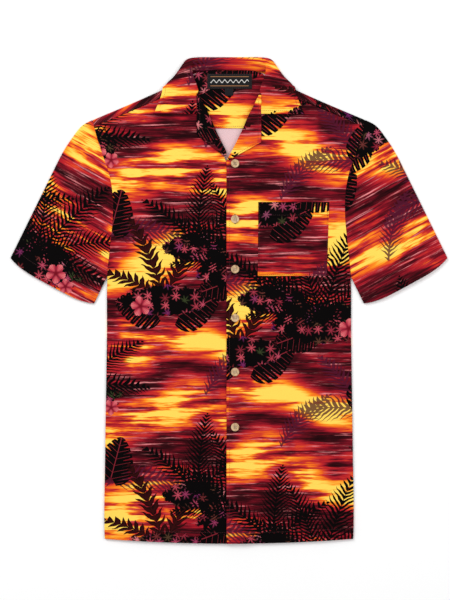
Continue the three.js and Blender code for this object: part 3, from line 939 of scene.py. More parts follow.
class SplitLeaf(Group):
    """One heart-shaped leaf with slits in from its edge."""

    name = "split_leaf"
    inputs = {"local": None, "length": 0.08}
    outputs = {"Mask": "float", "Shade": "float"}

    def draw(self, sums: Sums, given: dict[str, Socket]) -> dict[str, Socket]:
        """A rib along X, from the stalk at the root to the tip.

        The half width is a half circle's over the share of the way, wider near the stalk, where a
        wedge is cut out. Slits lie at even places along the rib, slant forwards, and widen outwards.

        Args:
            sums: the group's own sums.
            given: its inputs by name.

        Returns:
            Its outputs by name.
        """
        x, y, _ = sums.split(given["local"])
        length = given["length"]
        size = sums.size(y)
        along = sums.over(x, length)
        share = sums.times(sums.add(along, 0.2), 1 / 1.2)
        hump = sums.times(share, sums.minus(1.0, share), 4.0)
        taper = sums.minus(0.62, sums.times(share, 0.34))
        reach = sums.times(length, sums.math("SQRT", sums.most(hump, 0.0001)), taper)
        out = sums.over(size, reach)
        comb = sums.minus(along, sums.over(sums.times(size, 0.5), length))
        comb = sums.math("FRACT", sums.add(sums.times(comb, 6.0), 0.3))
        off = sums.size(sums.minus(comb, 0.5))
        slit = sums.less(off, sums.times(sums.minus(out, 0.38), 0.26))
        wedge = sums.less(sums.add(size, sums.times(x, 0.9)), 0.0)
        cut = sums.minus(1.0, sums.most(slit, wedge))
        vein = sums.times(sums.less(0.475, off), sums.less(out, 0.85))
        rib = sums.less(size, 0.0007)
        mask = sums.times(sums.less(out, 1.0), cut, sums.within(share))
        return {"Mask": mask, "Shade": sums.most(vein, rib)}


class Blossom(Group):
    """One open flower with five broad petals and a dark throat."""

    name = "blossom"
    inputs = {"local": None, "radius": 0.022}
    outputs = {"Mask": "float", "Shade": "float", "Throat": "float"}

    def draw(self, sums: Sums, given: dict[str, Socket]) -> dict[str, Socket]:
        """Petals by the size of the cosine of two and a half times the angle, with ruffled edges.

        Args:
            sums: the group's own sums.
            given: its inputs by name.

        Returns:
            Its outputs by name.
        """
        x, y, _ = sums.split(given["local"])
        angle = sums.math("ARCTAN2", y, x)
        out = sums.over(sums.length(x, y), given["radius"])
        petal = sums.size(sums.math("COSINE", sums.times(angle, 2.5)))
        ruffle = sums.times(sums.minus(sums.noise(given["local"], 260.0, 1.0), 0.5), 0.3)
        edge = sums.add(0.55, sums.times(sums.math("POWER", petal, 0.6), 0.45), ruffle)
        fold = sums.math("SINE", sums.add(sums.times(angle, 30.0), sums.times(out, 2.0)))
        shade = sums.add(sums.times(petal, 0.5), sums.times(fold, 0.1), sums.times(out, 0.35))
        throat = sums.soft(out, 0.42, 0.08)
        return {"Mask": sums.less(out, edge), "Shade": shade, "Throat": throat}


class Strokes(Group):
    """The painted ground: wavy bands that glow from maroon to yellow, in long level strokes."""

    name = "painted_strokes"
    inputs = {"place": None}
    outputs = {"Colour": "colour"}
    band_step: float = 0.14
    sway_step: float = 0.3
    glint: Colour = (0.92, 0.3, 0.31, 1)
    stops: tuple[tuple[float, Point], ...] = (
        (0.0, (0.01, 0.001, 0.002)),
        (0.15, (0.03, 0.002, 0.004)),
        (0.27, (0.13, 0.004, 0.011)),
        (0.4, (0.37, 0.01, 0.02)),
        (0.54, (0.56, 0.026, 0.02)),
        (0.66, (0.82, 0.13, 0.012)),
        (0.78, (0.95, 0.3, 0.016)),
        (0.94, (1.0, 0.66, 0.1)),
    )

    def draw(self, sums: Sums, given: dict[str, Socket]) -> dict[str, Socket]:
        """Level bands that glow in patches.

        The bands are a cosine of the way along, bent a little by a sine across and by soft noise, and
        they glow where a second noise is high. Two sets of strokes, long and fine, are noise stretched
        sideways, and shift the glow. Pale glints are the tops of a third set, where the glow is low.

        Args:
            sums: the group's own sums.
            given: its inputs by name.

        Returns:
            Its outputs by name.
        """
        place = given["place"]
        x, y, _ = sums.split(place)
        long = sums.minus(sums.noise(sums.scaled(place, 8.0, 85.0), 1.0, 4.0, 0.65), 0.5)
        fine = sums.minus(sums.noise(sums.scaled(place, 30.0, 420.0), 1.0, 2.0, 0.6), 0.5)
        drift = sums.noise(sums.scaled(place, 4.0, 9.0), 1.0, 2.0)
        sway = sums.times(sums.math("SINE", sums.times(x, 2 * math.pi / self.sway_step)), 0.12)
        phase = sums.add(sums.times(y, 1 / self.band_step), sway, sums.times(drift, 1.1))
        bands = sums.add(sums.times(sums.math("COSINE", sums.times(phase, 2 * math.pi)), 0.5), 0.5)
        streaked = sums.add(sums.noise(sums.scaled(place, 6.5, 5.0), 1.0, 3.0), sums.times(long, 0.75))
        patches = sums.soft(streaked, 0.38, 0.58)
        lit = sums.add(0.19, sums.times(bands, 0.24), sums.times(bands, patches, 0.6))
        glow = sums.add(lit, sums.times(long, 0.95), sums.times(fine, 0.4))
        colour = sums.ramp(glow, self.stops)
        foam = sums.noise(sums.scaled(place, 9.0, 190.0), 1.0, 5.0, 0.7)
        low = sums.times(sums.soft(glow, 0.6, 0.45), sums.soft(glow, 0.12, 0.25))
        glint = sums.times(sums.soft(foam, 0.54, 0.68), low)
        return {"Colour": sums.mix(sums.times(glint, 0.85), colour, self.glint)}


class Weave(Group):
    """Plain weave: threads that go over and under each other."""

    name = "plain_weave"
    inputs = {"place": None, "thread": 0.00042}
    outputs = {"Height": "float"}

    def draw(self, sums: Sums, given: dict[str, Socket]) -> dict[str, Socket]:
        """The height is the larger of two sets of humps, each rising and falling half a step apart.

        Args:
            sums: the group's own sums.
            given: its inputs by name.

        Returns:
            Its outputs by name.
        """
        x, y, _ = sums.split(given["place"])
        turn = sums.over(math.pi, given["thread"])
        across, along = sums.times(x, turn), sums.times(y, turn)
        lift = sums.times(sums.math("SINE", across), sums.math("SINE", along), 0.5)
        warp = sums.add(sums.size(sums.math("SINE", across)), lift)
        weft = sums.minus(sums.size(sums.math("SINE", along)), lift)
        return {"Height": sums.most(warp, weft)}


class Pucker(Group):
    """The small ripples that a row of stitches draws into the cloth."""

    name = "seam_pucker"
    inputs = {"place": None, "distance": 1.0, "reach": 0.006}
    outputs = {"Height": "float"}

    def draw(self, sums: Sums, given: dict[str, Socket]) -> dict[str, Socket]:
        """Noise that fades out away from the seam, less a dent right at the stitches.

        Args:
            sums: the group's own sums.
            given: its inputs by name.

        Returns:
            Its outputs by name.
        """
        ripples = sums.noise(given["place"], 150.0, 1.0)
        near = sums.soft(given["distance"], given["reach"], 0.0)
        dent = sums.soft(given["distance"], 0.0012, 0.0)
        return {"Height": sums.minus(sums.times(ripples, near), sums.times(dent, 0.35))}


@dataclass(frozen=True)
class Finish:
    """What every finish has: a name and a Principled shader."""

    name: str = "finish"

    def start(self) -> tuple[Material, Sums, bpy.types.Node]:
        """Makes a new material.

        Returns:
            The material, the sums for its tree and its shader.
        """
        material = bpy.data.materials.new(self.name)
        material.use_nodes = True
        return material, Sums(material.node_tree), material.node_tree.nodes["Principled BSDF"]

    def bump(self, sums: Sums, shader: bpy.types.Node, height: Socket, distance: float) -> None:
        """Feeds a height into the shader's normal, with its full range a distance in metres."""
        made = sums.node("Bump", {"Height": height, "Distance": distance, "Strength": 1.0})
        sums.tree.links.new(made.outputs[0], shader.inputs["Normal"])


@dataclass(frozen=True)
class Motif:
    """A motif's place in the repeat, in metres, and which way it points, in degrees."""

    root: Pair
    turn: float
    size: float
    bend: float = 0.2
    spread: float = 0.2
    pitch: float = 0.007
    fill: float = 0.72


@dataclass(frozen=True)
class PrintedCloth(Finish):
    """Soft viscose printed with dark plants over a glowing painted ground."""

    name: str = "printed_viscose"
    width: float = 0.30
    height: float = 0.42
    ink: Colour = (0.0014, 0.0008, 0.001, 1)
    shadow: Colour = (0.075, 0.006, 0.022, 1)
    reverse: Colour = (0.86, 0.6, 0.62, 1)
    throat: Colour = (0.16, 0.004, 0.012, 1)
    split_vein: Colour = (0.4, 0.03, 0.05, 1)
    paddle_vein: Colour = (0.3, 0.02, 0.02, 1)
    ferns: tuple[Motif, ...] = (
        Motif((0.03, 0.05), 24, 0.13, 0.35, pitch=0.0085),
        Motif((0.03, 0.05), 50, 0.15, 0.25),
        Motif((0.03, 0.05), 78, 0.17, 0.12, pitch=0.0085),
        Motif((0.03, 0.05), 104, 0.16, -0.14),
        Motif((0.03, 0.05), 130, 0.15, -0.28, pitch=0.0085),
        Motif((0.03, 0.05), 156, 0.125, -0.35),
        Motif((0.245, 0.3), 52, 0.12, 0.25, pitch=0.0085),
        Motif((0.245, 0.3), 88, 0.14, 0.1),
        Motif((0.245, 0.3), 125, 0.12, -0.25, pitch=0.0085),
    )
    paddles: tuple[Motif, ...] = (
        Motif((0.19, 0.21), 70, 0.14, 0.22, 0.14, 0.012, 0.97),
        Motif((0.19, 0.21), 104, 0.155, -0.16, 0.13, 0.013, 0.97),
        Motif((0.19, 0.21), 140, 0.12, -0.3, 0.14, 0.011, 0.97),
    )
    far_ferns: tuple[Motif, ...] = (
        Motif((0.1, 0.32), 15, 0.125, 0.3, 0.22, 0.009),
        Motif((0.1, 0.32), 166, 0.115, -0.3, 0.22, 0.009),
        Motif((0.1, 0.32), 118, 0.12, -0.2, 0.2, 0.008),
        Motif((0.26, 0.05), 60, 0.12, 0.25, 0.2, 0.008),
    )
    splits: tuple[Motif, ...] = (
        Motif((0.215, 0.185), 25, 0.075),
        Motif((0.175, 0.19), 165, 0.07),
        Motif((0.01, 0.035), 200, 0.065),
        Motif((0.1, 0.33), 75, 0.07),
    )
    clumps: tuple[Pair, ...] = ((0.1, 0.042), (0.085, 0.03), (0.07, 0.026))
    rosette_hues: tuple[tuple[float, Point], ...] = (
        (0.0, (0.03, 0.045, 0.015)),
        (0.3, (0.22, 0.012, 0.03)),
        (0.6, (0.55, 0.07, 0.1)),
        (0.85, (0.12, 0.012, 0.09)),
        (1.0, (0.7, 0.2, 0.2)),
    )
    petal_hues: tuple[tuple[float, Point], ...] = (
        (0.1, (0.14, 0.006, 0.02)),
        (0.5, (0.42, 0.025, 0.05)),
        (0.9, (0.72, 0.17, 0.18)),
    )
    blossoms: tuple[Motif, ...] = (
        Motif((0.075, 0.04), 10, 0.017),
        Motif((0.1, 0.028), 50, 0.013),
        Motif((0.15, 0.2), 30, 0.017),
    )

    def local(self, sums: Sums, place: Socket, root: Pair) -> Socket:
        """Where the cloth's places lie from the nearest copy of a motif's root."""
        size = {"width": self.width, "height": self.height}
        return Repeat().use(sums, place=place, root=(*root, 0), **size)["Local"]

    def facing(self, sums: Sums, place: Socket, motif: Motif) -> Socket:
        """The same, turned the motif's way."""
        return sums.turned(self.local(sums, place, motif.root), motif.turn)

    def fronds(self, sums: Sums, place: Socket, motifs: Sequence[Motif]) -> tuple[Socket, Socket]:
        """The masks and shades of some fronds, one over the other.

        Args:
            sums: the tree's sums.
            place: places on the cloth.
            motifs: the fronds.

        Returns:
            Where any of them is, and how bright its leaflets are.
        """
        masks, shades = [], []
        for motif in motifs:
            shape = {"length": motif.size, "spread": motif.spread, "bend": motif.bend}
            leaflets = {"pitch": motif.pitch, "fill": motif.fill}
            drawn = Frond().use(sums, local=self.facing(sums, place, motif), **shape, **leaflets)
            masks.append(drawn["Mask"])
            shades.append(sums.times(drawn["Mask"], drawn["Shade"]))
        return sums.most(*masks), sums.most(*shades)

    def undergrowth(self, sums: Sums, place: Socket) -> tuple[Socket, Socket]:
        """Dark low plants round the fronds' feet, with pointed rosettes in them.

        They fill a level ellipse about each foot, with a ragged edge. A rosette lies at the middle of
        each cell of a Voronoi texture, and its radius follows the cosine of three and a half times the
        angle about it.

        Args:
            sums: the tree's sums.
            place: places on the cloth.

        Returns:
            Where they are, and their colour.
        """
        masks = []
        for motif, (wide, high) in zip((self.ferns[0], self.paddles[0], self.ferns[-1]), self.clumps):
            here = self.local(sums, place, motif.root)
            x, y, _ = sums.split(here)
            across, along = sums.times(x, 1 / wide), sums.times(y, 1 / high)
            ragged = sums.times(sums.noise(here, 75.0, 3.0, 0.75), 1.6)
            inside = sums.add(sums.times(across, across), sums.times(along, along), ragged)
            masks.append(sums.less(inside, 1.5))
        inputs = {"Vector": place, "Scale": 62.0, "Randomness": 0.8}
        cells = sums.node("TexVoronoi", inputs, voronoi_dimensions="2D", feature="F1")
        x, y, _ = sums.split(sums.apart(place, cells.outputs["Position"]))
        chance, hue, _ = sums.split(cells.outputs["Color"])
        angle = sums.add(sums.math("ARCTAN2", y, x), sums.times(hue, 6.0))
        petal = sums.size(sums.math("COSINE", sums.times(angle, 3.5)))
        distance = sums.length(x, y)
        edge = sums.times(sums.add(sums.math("POWER", petal, 2.5), 0.16), 0.009)
        rosette = sums.times(sums.less(distance, edge), sums.less(0.3, chance))
        leaves = sums.ramp(hue, self.rosette_hues)
        faded = sums.times(rosette, sums.soft(distance, 0.013, 0.001))
        return sums.most(*masks), sums.mix(faded, self.ink, leaves)

    def colour(self, sums: Sums, place: Socket) -> Socket:
        """The whole print, from the ground up to the nearest plants.

        Args:
            sums: the tree's sums.
            place: places on the cloth.

        Returns:
            The printed colour.
        """
        colour = Strokes().use(sums, place=place)["Colour"]
        mask, _ = self.fronds(sums, place, self.far_ferns)
        colour = sums.mix(sums.times(mask, 0.88), colour, self.shadow)
        for motif in self.splits:
            drawn = SplitLeaf().use(sums, local=self.facing(sums, place, motif), length=motif.size)
            leaf = sums.mix(sums.times(drawn["Shade"], 0.55), self.ink, self.split_vein)
            colour = sums.mix(drawn["Mask"], colour, leaf)
        mask, shade = self.fronds(sums, place, self.paddles)
        leaf = sums.mix(sums.times(shade, 0.1), self.ink, self.paddle_vein)
        colour = sums.mix(mask, colour, leaf)
        mask, leaves = self.undergrowth(sums, place)
        colour = sums.mix(mask, colour, leaves)
        mask, _ = self.fronds(sums, place, self.ferns)
        colour = sums.mix(mask, colour, self.ink)
        for motif in self.blossoms:
            drawn = Blossom().use(sums, local=self.facing(sums, place, motif), radius=motif.size)
            petal = sums.ramp(drawn["Shade"], self.petal_hues)
            petal = sums.mix(drawn["Throat"], petal, self.throat)
            colour = sums.mix(drawn["Mask"], colour, petal)
        return colour

    def build(self) -> Material:
        """The cloth's material, which reads the cloth's own places on each piece.

        Returns:
            The material.
        """
        material, sums, shader = self.start()
        x, y, side = sums.split(sums.stored("cloth_place"))
        place = sums.join(x, y)
        printed = self.colour(sums, place)
        colour = sums.mix(side, printed, sums.mix(0.86, printed, self.reverse))
        threads = sums.times(Weave().use(sums, place=place)["Height"], 0.04)
        ripples = Pucker().use(sums, place=place, distance=sums.stored("seam_distance"))["Height"]
        waves = sums.times(sums.noise(place, 16.0, 2.0), 1.6)
        self.bump(sums, shader, sums.add(threads, ripples, waves), 0.0009)
        sums.feed(shader, {"Base Color": colour, "Roughness": 0.75})
        sums.feed(shader, {"Specular IOR Level": 0.04, "Sheen Weight": 0.008})
        return material


@dataclass(frozen=True)
class SewingThread(Finish):
    """Twisted thread, dark on the cloth or pale through the buttons."""

    name: str = "sewing_thread"
    colour: Colour = (0.085, 0.012, 0.016, 1)
    twist: float = 0.0004

    def build(self) -> Material:
        """A soft material with fine slanting twist lines in its bump.

        Returns:
            The material.
        """
        material, sums, shader = self.start()
        x, y, _ = sums.split(sums.own())
        twist = sums.math("SINE", sums.times(sums.add(x, y), 2 * math.pi / self.twist))
        self.bump(sums, shader, twist, 0.00004)
        dark = tuple(0.6 * part for part in self.colour[:3])
        mottled = sums.mix(sums.noise(sums.own(), 900.0, 1.0), (*dark, 1), self.colour)
        sums.feed(shader, {"Base Color": mottled, "Roughness": 0.55})
        return material


@dataclass(frozen=True)
class WovenLabel(Finish):
    """Dark satin weave with a bare generic border: two thin lines and a row of small waves."""

    name: str = "woven_label"
    ground: Colour = (0.004, 0.004, 0.005, 1)
    pale: Colour = (0.62, 0.6, 0.56, 1)
    tan: Colour = (0.3, 0.13, 0.05, 1)
    middle: Pair = (0.001, 0.3718)
    half_border: Pair = (0.0325, 0.0078)
    wave_step: float = 0.0095
    wave_height: float = 0.0023

    def build(self) -> Material:
        """The label's material, drawn by its own places.

        The waves are where the height over the middle is near a sine of the place across.

        Returns:
            The material.
        """
        material, sums, shader = self.start()
        stored = sums.stored("cloth_place")
        x, y, _ = sums.split(stored)
        over = sums.minus(y, self.middle[1])
        swing = sums.math("SINE", sums.times(x, 2 * math.pi / self.wave_step))
        waves = sums.less(sums.size(sums.minus(over, sums.times(swing, self.wave_height))), 0.0009)
        lines = sums.less(sums.size(sums.minus(sums.size(over), self.half_border[1])), 0.0006)
        inside = sums.less(sums.size(sums.minus(x, self.middle[0])), self.half_border[0])
        colour = sums.mix(sums.times(waves, inside), self.ground, self.pale)
        colour = sums.mix(sums.times(lines, inside), colour, self.tan)
        height = Weave().use(sums, place=stored, thread=0.0003)["Height"]
        self.bump(sums, shader, sums.add(height, sums.times(waves, inside, 1.5)), 0.00005)
        sums.feed(shader, {"Base Color": colour, "Roughness": 0.6, "Specular IOR Level": 0.16})
        return material


@dataclass(frozen=True)
class BareTab(Finish):
    """The size tab's plain dark satin."""

    name: str = "bare_tab"
    ground: Colour = (0.005, 0.004, 0.006, 1)

    def build(self) -> Material:
        """A bare dark weave.

        Returns:
            The material.
        """
        material, sums, shader = self.start()
        height = Weave().use(sums, place=sums.stored("cloth_place"), thread=0.0003)["Height"]
        self.bump(sums, shader, height, 0.00005)
        sums.feed(shader, {"Base Color": self.ground, "Roughness": 0.6, "Specular IOR Level": 0.16})
        return material


@dataclass(frozen=True)
class Horn(Finish):
    """Pale horn-look buttons, polished, with soft streaks along the grain."""

    name: str = "pale_horn"
    light: Colour = (0.62, 0.42, 0.23, 1)
    dark: Colour = (0.28, 0.14, 0.055, 1)
    slant: float = 24

    def build(self) -> Material:
        """Streaks out of noise stretched along the grain, with a light coat over them.

        Returns:
            The material.
        """
        material, sums, shader = self.start()
        stretched = sums.scaled(sums.turned(sums.own(), self.slant), 260.0, 60.0, 60.0)
        grain = sums.noise(stretched, 1.0, 4.0, 0.6)
        colour = sums.mix(sums.soft(grain, 0.42, 0.72), self.light, self.dark)
        sums.feed(shader, {"Base Color": colour, "Roughness": sums.add(sums.times(grain, 0.2), 0.22)})
        sums.feed(shader, {"Coat Weight": 0.4, "Coat Roughness": 0.15})
        return material


@dataclass(frozen=True)
class Paper(Finish):
    """The floor's white paper."""

    name: str = "white_paper"
    white: float = 0.96

    def build(self) -> Material:
        """Matt white with the faintest mottle.

        Returns:
            The material.
        """
        material, sums, shader = self.start()
        low, high = self.white - 0.012, self.white
        mottle = sums.mix(sums.noise(sums.own(), 6.0, 3.0), (low, low, low, 1), (high, high, high, 1))
        sums.feed(shader, {"Base Color": mottle, "Roughness": 0.9})
        return material


# What every cloth piece does


class Side(Enum):
    """The wearer's two sides, as the sign of X."""

    LEFT = 1
    RIGHT = -1

    @property
    def word(self) -> str:
        """The side's name in a node's name."""
        return self.name.lower()

    def hold(self, patch: Patch) -> Patch:
        """A grid that was worked out on the +X side, moved to this one with its face still out."""
        middle, flip = patch.middle * (self.value, 1, 1), patch.flip != (self is Side.RIGHT)
        return Patch(middle, patch.place, patch.face, patch.back, patch.ring, flip)


def attach(made: Object, node: str | None = None) -> Object:
    """Makes a piece ride the shirt and stand for a node.

    Args:
        made: the piece.
        node: the node it stands for, if any.

    Returns:
        The same piece.
    """
    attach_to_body(made, "root")
    if node:
        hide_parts(node)
    return made


def dress(made: Object, material: Material) -> None:
    """Gives a piece its one material."""
    made.data.materials.clear()
    made.data.materials.append(material)


SEWING = Stitching()


@dataclass
class ClothPiece:
    """A piece that a maker cuts out and sews on, with its stitches."""

    name: str = "piece"
    cut: Print = field(default_factory=Print)
    flat: Pair = (0.1, 0.1)
    rests_on: tuple[str, ...] = ()
    slot: str = "print_cloth"
    sewing: Stitching = SEWING
    round_edge: float = 0.25
    two_ply: bool = False

    def patches(self) -> list[Patch]:
        """The grids of the piece's cloth."""
        raise NotImplementedError

    def stitch_lines(self, patches: list[Patch]) -> list[Line]:
        """Where stitches run on the piece: none, unless a piece says so."""
        return []

    def build(self, cloth: Material, thread: Material) -> list[Object]:
        """Args:
            cloth: the cloth's material.
            thread: the stitches' material.

        Returns:
            The cloth and, where it is stitched, the stitches.
        """
        patches = self.patches()
        lines = self.stitch_lines(patches)
        seams = [points for points, _ in lines]
        made = shell(f"{self.name}_cloth", patches, seams, self.round_edge, self.two_ply)
        attach(made, self.name)
        dress(made, cloth)
        pieces = [made]
        if lines:
            stitches = attach(self.sewing.sew(f"{self.name}_stitches", lines))
            dress(stitches, thread)
            pieces.append(stitches)
        for piece in pieces:
            log.info("%s: %d faces", piece.name, len(piece.data.polygons))
        return pieces


# The panels of the body


def to_side(inner: Array, reach: Array, step: float = MAKE.grain) -> Array:
    """Places across a panel from an inner edge to the side, closer together round the fold.

    Args:
        inner: the inner edge at each height.
        reach: how far out the cloth goes at each height.
        step: the most that two places may lie apart.

    Returns:
        A row of places for each height.
    """
    insets = MAKE.fold_insets
    widest = float(np.max(reach - inner))
    shares = spread(0, 1, step / widest)[:, None]
    flat = lerp(inner, reach - insets[0], shares)
    return np.concatenate([flat, reach - insets[1:, None]]).T


@dataclass
class BackPanel(ClothPiece):
    """The back, from the hem up to the yoke's seam."""

    name: str = "back"
    cut: Print = Print(across=90, along=130)
    flat: Pair = (0.46, 0.72)
    rests_on: tuple[str, ...] = ("surface",)

    def patches(self) -> list[Patch]:
        """Rows of points from side to side, risen to the hem's curve and turned up at the folds.

        Returns:
            The one grid.
        """
        y = spread(BODY.hem_y, BODY.yoke_seam_y - MAKE.seam, 4)
        half = to_side(np.zeros_like(y), BODY.side_reach(y), 4)
        x = np.concatenate([-half[:, :0:-1], half], axis=1)
        height = np.broadcast_to(y[:, None], x.shape)
        fade = 1 - smoothstep(height, BODY.hem_y, BODY.hem_y + BODY.hem_reach)
        y = height + (BODY.hem_line(x) - BODY.hem_y) * fade
        turn = BODY.side_turn(x, height)
        middle = np.stack([x, y, MAKE.back_level + turn], axis=-1)
        back = MAKE.hem_back(height - BODY.hem_y, turn)
        return [Patch(middle, self.cut.place(x, y), MAKE.ply, back, flip=True)]

    def stitch_lines(self, patches: list[Patch]) -> list[Line]:
        """The hem's row of stitches, from one side fold to the other."""
        return [patches[0].across(MAKE.hem_stitch, skip=4)]


@dataclass(frozen=True)
class Opening:
    """One side's neck opening: where its lapel starts, how wide it is and where it turns over."""

    bottom: float
    corner_y: float
    least_roll: float
    roll: Curve = Curve(
        ((238, -4), (244.8, 0), (292.4, 24), (308.9, 30.8), (331.3, 42.3), (348.5, 50.5))
    )
    top: float = 348.5
    gorge_x: float = 54.4
    gorge_gap: float = 1.2
    ply: float = 1.8
    tuck: float = 1.5
    settle: float = 17
    ease: float = 0.8
    low_radius: float = 1.25
    high_radius: float = 2.9
    radius_from: float = 270
    widest_from: float = 239

    def roll_x(self, y: Array) -> Array:
        """Where the cloth turns over, as half the opening at each height."""
        return np.maximum(self.roll.at(y), self.least_roll)

    def radius(self, y: Array) -> Array:
        """The roll's radius, which grows softly towards the collar."""
        return lerp(self.low_radius, self.high_radius, smoothstep(y, self.radius_from, self.top))

    def panel_edge(self, y: Array) -> Array:
        """Where the panel ends beside the roll, and above it on the way to the neck seam.

        Args:
            y: heights.

        Returns:
            The edge at each height, on the +X side.
        """
        rolled = np.minimum(y, self.top)
        beside = self.roll_x(rolled) + self.radius(rolled) + self.tuck + self.ply / 2 + MAKE.seam
        neck_x, neck_y = BODY.shoulder_seam.places[0]
        return lerp(beside, neck_x, np.clip((y - self.top) / (neck_y - self.top), 0, 1))

    def outer(self, y: Array) -> Array:
        """The lapel's outer edge: a straight slant from its foot to the gorge, then level with it."""
        share = (y - self.widest_from) / (self.corner_y - self.widest_from)
        return lerp(BODY.front_edge_x + 5, self.gorge_x, np.minimum(share, 1))


OPENINGS = {
    Side.LEFT: Opening(bottom=239, corner_y=268.5, least_roll=-4),
    Side.RIGHT: Opening(bottom=245.5, corner_y=280, least_roll=4.6),
}


def level_of(side: Side) -> Level:
    """The level that a front lies on, for a grid that is worked out on the +X side."""
    return BODY.lap_level if side is Side.LEFT else lambda x, y: BODY.front_level(-x, y)


@dataclass
class Front(ClothPiece):
    """One front, from the hem to the shoulder seam. The left one laps over the right one."""

    side: Side = Side.LEFT
    flat: Pair = (0.26, 0.79)
    rests_on: tuple[str, ...] = ("back",)
    edge_stitch: float = 5

    def inner_edge(self, y: Array) -> Array:
        """The edge beside the opening at each height, on the +X side.

        The left front's edge is straight up to the lapel's foot. The right one goes on under the left
        one and swings out to its own lapel with a soft step.

        Args:
            y: heights.

        Returns:
            The edge at each height.
        """
        opening = OPENINGS[self.side]
        above = opening.panel_edge(y)
        if self.side is Side.LEFT:
            return np.where(y < opening.bottom, BODY.front_edge_x, above)
        foot = opening.panel_edge(np.array(opening.bottom))
        below = lerp(-BODY.lap_edge_x, foot, smoothstep(y, BODY.lap_top, opening.bottom))
        return np.where(y < opening.bottom, below, above)

    def patches(self) -> list[Patch]:
        """The panel's grid.

        Each row runs from the inner edge to the side. Its height goes from the hem's curve at the
        bottom to the shoulder seam's slant at the top, by the row's share of the way up.

        Returns:
            The one grid, on the panel's own side.
        """
        opening = OPENINGS[self.side]
        (neck_x, neck_y), (end_x, _) = BODY.shoulder_seam.places[0], BODY.shoulder_seam.places[-1]
        top = neck_y - MAKE.seam
        stops = [BODY.hem_y, opening.bottom - MAKE.seam, opening.bottom, opening.top, top]
        rows = [spread(stops[0], stops[1], MAKE.grain), spread(stops[2], stops[3], MAKE.grain)]
        rows.append(spread(stops[3], stops[4], MAKE.grain)[1:])
        height = np.concatenate(rows)[:, None]
        inner, share = self.inner_edge(height), (height - BODY.hem_y) / (top - BODY.hem_y)
        foot = self.inner_edge(np.array(BODY.hem_y))

        def height_at(part: Array) -> Array:
            """The height at a part of the way across."""
            low = BODY.hem_line(lerp(foot, BODY.side_reach(BODY.hem_y), part))
            return lerp(low, BODY.shoulder_seam.at(lerp(neck_x, end_x, part)) - MAKE.seam, share)

        side_y = height_at(np.ones_like(height))
        reach = BODY.side_reach(side_y)
        x = to_side(inner[:, 0], reach[:, 0])
        y = height_at((x - inner) / (reach - inner))
        turn = BODY.side_turn(x, side_y)
        middle = np.stack([x, y, level_of(self.side)(x, y) - turn], axis=-1)
        back = MAKE.hem_back(height - BODY.hem_y, turn)
        patch = Patch(middle, self.cut.place(x * self.side.value, y), MAKE.ply, back)
        return [self.side.hold(patch)]

    def stitch_lines(self, patches: list[Patch]) -> list[Line]:
        """The hem's row and, on the left front, the row beside its edge up to the lapel's foot.

        Args:
            patches: the panel's one grid.

        Returns:
            The points and directions of each row.
        """
        patch = patches[0]
        lines = [patch.across(MAKE.hem_stitch, skip=4)]
        if self.side is Side.LEFT:
            below = patch.middle[:, 0, 1] < OPENINGS[self.side].bottom - 1
            lines.append(patch.down(self.edge_stitch, False, np.arange(int(below.sum()))))
        return lines


@dataclass
class Lapel(ClothPiece):
    """One lapel: cloth that starts beside the front's edge, rolls over and lies on the front."""

    side: Side = Side.LEFT
    flat: Pair = (0.058, 0.11)
    round_edge: float = 0.45
    edge_stitch: float = 5
    grain: float = 2
    hidden_side: float = 0.1

    def patches(self) -> list[Patch]:
        """The lapel's grid.

        Each row starts under the roll, goes half round it on a circle and then along the front, where
        it settles from the roll's height to the front's face with a soft step.

        Returns:
            The one grid, on the lapel's own side.
        """
        opening, level = OPENINGS[self.side], level_of(self.side)
        rest = on_level(level, MAKE.cloth, opening.ply + opening.ease)
        rows = [spread(opening.bottom, opening.corner_y, self.grain)]
        rows.append(spread(opening.corner_y, opening.top - opening.gorge_gap, self.grain)[1:])
        y = np.concatenate(rows)[:, None]
        radius = opening.radius(y)
        start = opening.roll_x(y) + opening.ply / 2 + radius
        low = level(start, y) + (opening.ply - MAKE.cloth) / 2
        angles = np.linspace(0, math.pi, 11)
        turned_x, turned_z = start - radius * np.sin(angles), low + radius * (1 - np.cos(angles))
        shares = np.linspace(0, 1, 26)[1:]
        flat_x = lerp(start, opening.outer(y), shares)
        settled = smoothstep(flat_x - start, 0, opening.settle)
        flat_z = lerp(low + 2 * radius, rest(flat_x, y), settled)
        x = np.concatenate([start + opening.tuck, turned_x, flat_x], axis=1)
        z = np.concatenate([low, turned_z, flat_z], axis=1)
        middle = np.stack(np.broadcast_arrays(x, y, z), axis=-1)
        place = self.cut.place(-run_along(middle, axis=1) * self.side.value, middle[..., 1])
        patch = Patch(middle, place, opening.ply / 2, self.hidden_side)
        return [self.side.hold(patch)]

    def stitch_lines(self, patches: list[Patch]) -> list[Line]:
        """The row beside the lapel's outer edge, from its foot to the gorge."""
        return [patches[0].down(self.edge_stitch, True, np.arange(4, len(patches[0].middle)))]


# The yoke


